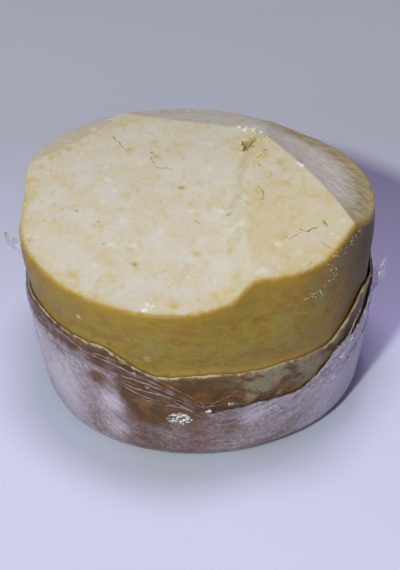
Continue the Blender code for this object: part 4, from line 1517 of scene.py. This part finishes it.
def make_glints(settings):
    """Small, sharply crumpled patches of film, each a thin two-faced sheet whose facets that mirror the key
    lamp are painted white as glints.
    """
    line = np.linspace(-1.0, 1.0, GLINT_ROWS)
    across, up = (part.ravel() for part in np.meshgrid(line, line))
    across, up = across * np.sqrt(1.0 - up**2 / 2.0), up * np.sqrt(1.0 - across**2 / 2.0)
    fade = step(0.0, 0.45, 1.0 - np.hypot(across, up))
    points = []
    faces = []
    cover = []
    sheet = sheet_faces(GLINT_ROWS, GLINT_ROWS)

    def rise(values):
        return np.gradient(values.reshape(GLINT_ROWS, GLINT_ROWS), axis=0).ravel()

    for place, radius, _ in photo_marks(GLINT_PATCHES):
        angle = direction_of(place) + 1.25 * across * radius / WHEEL_RADIUS
        height = place[2] + 0.8 * up * radius
        flat = wall_point(angle, height, 0.0)
        rumple = creases(flat, 2.4 * MM, 71) + 0.6 * creases(flat, 1.1 * MM, 72)
        out = fade * (0.4 * MM + 0.75 * MM * rumple) + 0.6 * rope_lift(angle, height)
        slope = -rise(out) / np.maximum(rise(height), 0.01 * MM)
        faces += [[len(cover) * len(flat) + corner for corner in face] for face in sheet]
        for thickness in (0.06 * MM, -0.06 * MM):
            points.append(wall_point(angle, height, -out - thickness))
            # Painted glints: cover is high on facets tilted to mirror the key lamp
            cover.append(fade * bell(slope - 0.75, 0.5))
    n = Finish("film_glints")
    colour = n.mix(settings.haze, settings.painted_glint, n.field("cover"))
    alpha = n.band(n.field("cover"), 0.15, 0.80)
    material = n.shine(Base_Color=colour, Roughness=0.14, Alpha=alpha, Specular_IOR_Level=1.0)
    fields = {"cover": np.concatenate(cover)}
    return new_object("film_glints", new_mesh("film_glints", np.concatenate(points), faces, material, fields))


def tail_points(direction, root_low, root_high, reach, rise, seed):
    """A crumpled loose end of film as the points of a thin two-faced sheet."""
    grid = np.meshgrid(np.linspace(0, 1, TAIL_GRID[0]), np.linspace(-1, 1, TAIL_GRID[1]))
    out, across = (part.ravel() for part in grid)
    middle = (root_low + root_high) / 2.0
    half = (root_high - root_low) / 2.0
    root = middle + half * across
    height = middle + half * across * (1.0 - TAIL_TAPER * out) + rise * out
    radius = wall_radius(direction, root) - 0.3 * MM + reach * out
    sideways = np.array((math.cos(direction), math.sin(direction), 0.0))
    east = lean(root) + radius * math.sin(direction)
    base = np.stack((east, -radius * math.cos(direction), height), axis=-1)
    rumple = creases(base, 7.0 * MM, seed) + 0.5 * creases(base, 3.0 * MM, seed + 1)
    bend = (1.5 * np.sin(2.5 * math.pi * out) + 2.2 * (rumple - 0.7)) * MM * (0.25 + 0.75 * out)
    fringe = noise(base * (1.0, 1.0, 3.0), 4.0 * MM, seed + 2) * np.abs(across) * out
    base = base + sideways * bend[:, None]
    base[:, 2] += 1.2 * MM * fringe
    half_wall = 0.12 * MM * sideways
    return np.concatenate((base + half_wall, base - half_wall))


def hand_over(piece, slot, *nodes):
    """Tie a finished piece to the root body and hide the nodes it stands for; the slot is not used."""
    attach(piece, "root")
    if nodes:
        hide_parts(*nodes)


class TULUM_OT_cheese(bpy.types.Operator):
    """Make the cheese wheel"""

    bl_idname = "tulum.cheese"
    bl_label = "Cheese Wheel"

    def execute(self, context):
        piece = make_cheese(context.scene.tulum_cheese)
        hand_over(piece, "cheese", "cheese")
        return {"FINISHED"}


class TULUM_OT_crumbs(bpy.types.Operator):
    """Strew crumbs, salty flecks and wet beads over the cheese"""

    bl_idname = "tulum.crumbs"
    bl_label = "Crumbs, Flecks and Drops"

    def execute(self, context):
        settings = context.scene.tulum_crumbs
        wheel = bpy.data.objects.get("cheese_wheel")
        if wheel is None:
            raise RuntimeError("make the cheese wheel first")
        tree = scatter_tree()
        for number, kind in enumerate(GRAINS):
            name, where, density, size, colour, flatness, unevenness, parts, roughness = kind
            largest = getattr(settings, size)
            values = {
                "Where": where,
                "Density": density,
                "Seed": FIRST_SEED + number,
                "Smallest": 0.3 * largest,
                "Largest": largest,
                "Flatness": flatness,
                "Unevenness": unevenness * MM,
                "Subdivisions": parts,
                "Material": grain_finish(name, getattr(settings, colour), roughness),
            }
            hand_over(run_tree(name, wheel.data, tree, values), "cheese")
        return {"FINISHED"}


class TULUM_OT_hide(bpy.types.Operator):
    """Make the goat skin"""

    bl_idname = "tulum.hide"
    bl_label = "Goat Skin"

    def execute(self, context):
        hand_over(make_hide(context.scene.tulum_hide), "hide", "hide")
        return {"FINISHED"}


class TULUM_OT_film(bpy.types.Operator):
    """Make the cling film round the skin"""

    bl_idname = "tulum.film"
    bl_label = "Cling Film"

    def execute(self, context):
        hand_over(make_film(context.scene.tulum_film), "film", "cling_film")
        return {"FINISHED"}


class TULUM_OT_pleats(bpy.types.Operator):
    """Make the gathered folds and the ruffled edge of the film"""

    bl_idname = "tulum.pleats"
    bl_label = "Film Folds"

    def execute(self, context):
        settings = context.scene.tulum_film
        tree = pleat_tree()
        for name, table, seed, wobble, low, high in FOLDS:
            material = pleat_finish(name, settings, settings.clear, low, high)
            values = {"Sides": FOLD_SIDES, "Material": material}
            hand_over(run_tree(name, fold_curves(name, table, seed, wobble), tree, values), "film")
        hand_over(make_glints(settings), "film")
        return {"FINISHED"}


class TULUM_OT_tails(bpy.types.Operator):
    """Make the loose ends of the film"""

    bl_idname = "tulum.tails"
    bl_label = "Film Ends"

    def execute(self, context):
        settings = context.scene.tulum_film
        material = pleat_finish("film_ends", settings, settings.loose, 0.06, 0.58)
        for number, tail in enumerate(FILM_TAILS, 1):
            name = f"film_end_{number}"
            mesh = new_mesh(name, tail_points(*tail), sheet_faces(*TAIL_GRID), material, {})
            hand_over(new_object(name, mesh), "film")
        return {"FINISHED"}


class TULUM_OT_stage(bpy.types.Operator):
    """Set the floor, the light and the camera"""

    bl_idname = "tulum.stage"
    bl_label = "Stage"

    def execute(self, context):
        settings = context.scene.tulum_stage
        make_floor(settings)
        make_lights(settings)
        make_camera()
        context.scene.view_settings.view_transform = "Standard"
        return {"FINISHED"}


def make_floor(settings):
    """A wide pale floor, with painted light that makes it paler towards the back."""
    n = Finish("floor")
    cloud = n.speckle(n.place(), 3.0, 2.0)
    shade = tuple(0.97 * value for value in settings.floor)
    # Painted light: paler towards the back
    back = n.band(n.node("ShaderNodeSeparateXYZ", {"Vector": n.place()})["Y"], -0.05, 0.60)
    tint = n.mix(n.mix(shade, settings.floor, n.band(cloud, 0.3, 0.7)), settings.floor_back_lit, back)
    n.shine(Base_Color=tint, Roughness=0.6)
    mesh = bpy.data.meshes.new("floor")
    corners = [(x * FLOOR_REACH, y * FLOOR_REACH, 0.0) for x, y in ((-1, -1), (1, -1), (1, 1), (-1, 1))]
    mesh.from_pydata(corners, [], [(0, 1, 2, 3)])
    mesh.materials.append(n.material)
    new_object("floor", mesh)


def add_lamp(name, kind, power, colour, place, turn):
    """A lamp at a place; lamps shine along their own -Z."""
    lamp = bpy.data.lights.new(name, kind)
    lamp.energy = power
    lamp.color = colour
    holder = new_object(name, lamp)
    holder.location = place
    holder.rotation_mode = "QUATERNION"
    holder.rotation_quaternion = turn
    return lamp


def make_lights(settings):
    """A key lamp from the front left, a soft top lamp and even light all round."""
    level = math.cos(KEY_ABOVE)
    towards = Vector((math.sin(KEY_AROUND) * level, -math.cos(KEY_AROUND) * level, math.sin(KEY_ABOVE)))
    turn = towards.to_track_quat("Z", "Y")
    key = add_lamp("key", "AREA", settings.key_power, KEY_COLOUR, towards * KEY_DISTANCE, turn)
    key.size = KEY_WIDTH
    tip = Matrix.Rotation(-TOP_TIP, 3, "X").to_quaternion()
    top = add_lamp("top", "SPOT", settings.top_power, TOP_COLOUR, TOP_PLACE, tip)
    top.shadow_soft_size = TOP_RADIUS
    top.spot_size = TOP_CONE
    top.spot_blend = TOP_BLEND
    world = bpy.data.worlds.new("sky")
    world.use_nodes = True
    background = world.node_tree.nodes["Background"]
    background.inputs["Color"].default_value = SKY_COLOUR
    background.inputs["Strength"].default_value = settings.sky
    bpy.context.scene.world = world


def make_camera():
    """The camera that sees the wheel as the photo does."""
    place, right, up, forward = camera_axes()
    camera = bpy.data.cameras.new("camera")
    camera.sensor_width = SENSOR
    camera.lens = FOCAL_PIXELS / PHOTO_HEIGHT * SENSOR
    holder = new_object("camera", camera)
    turn = Matrix((right, up, -forward)).transposed().to_4x4()
    holder.matrix_world = Matrix.Translation(Vector(place)) @ turn
    bpy.context.scene.camera = holder


class TULUM_PT_panel(bpy.types.Panel):
    """Lists the pieces of the cheese"""

    bl_idname = "TULUM_PT_panel"
    bl_label = "Tulum Cheese"
    bl_space_type = "VIEW_3D"
    bl_region_type = "UI"
    bl_category = "Tulum"

    def draw(self, context):
        for operator in OPERATORS:
            self.layout.operator(operator.bl_idname)
        for name, group in SETTINGS:
            box = self.layout.box()
            for key in group.__annotations__:
                box.prop(getattr(context.scene, name), key)


OPERATORS = (
    TULUM_OT_stage,
    TULUM_OT_cheese,
    TULUM_OT_crumbs,
    TULUM_OT_hide,
    TULUM_OT_film,
    TULUM_OT_pleats,
    TULUM_OT_tails,
)


def register():
    """Register the settings, operators and panel."""
    for name, group in SETTINGS:
        bpy.utils.register_class(group)
        setattr(bpy.types.Scene, name, PointerProperty(type=group))
    for operator in OPERATORS:
        bpy.utils.register_class(operator)
    bpy.utils.register_class(TULUM_PT_panel)


def unregister():
    """Remove what register added."""
    bpy.utils.unregister_class(TULUM_PT_panel)
    for operator in reversed(OPERATORS):
        bpy.utils.unregister_class(operator)
    for name, group in reversed(SETTINGS):
        delattr(bpy.types.Scene, name)
        bpy.utils.unregister_class(group)


def main():
    """Make every piece in order."""
    register()
    bpy.ops.tulum.stage()
    bpy.ops.tulum.cheese()
    bpy.ops.tulum.crumbs()
    bpy.ops.tulum.hide()
    bpy.ops.tulum.film()
    bpy.ops.tulum.pleats()
    bpy.ops.tulum.tails()


if __name__ == "__main__":
    main()
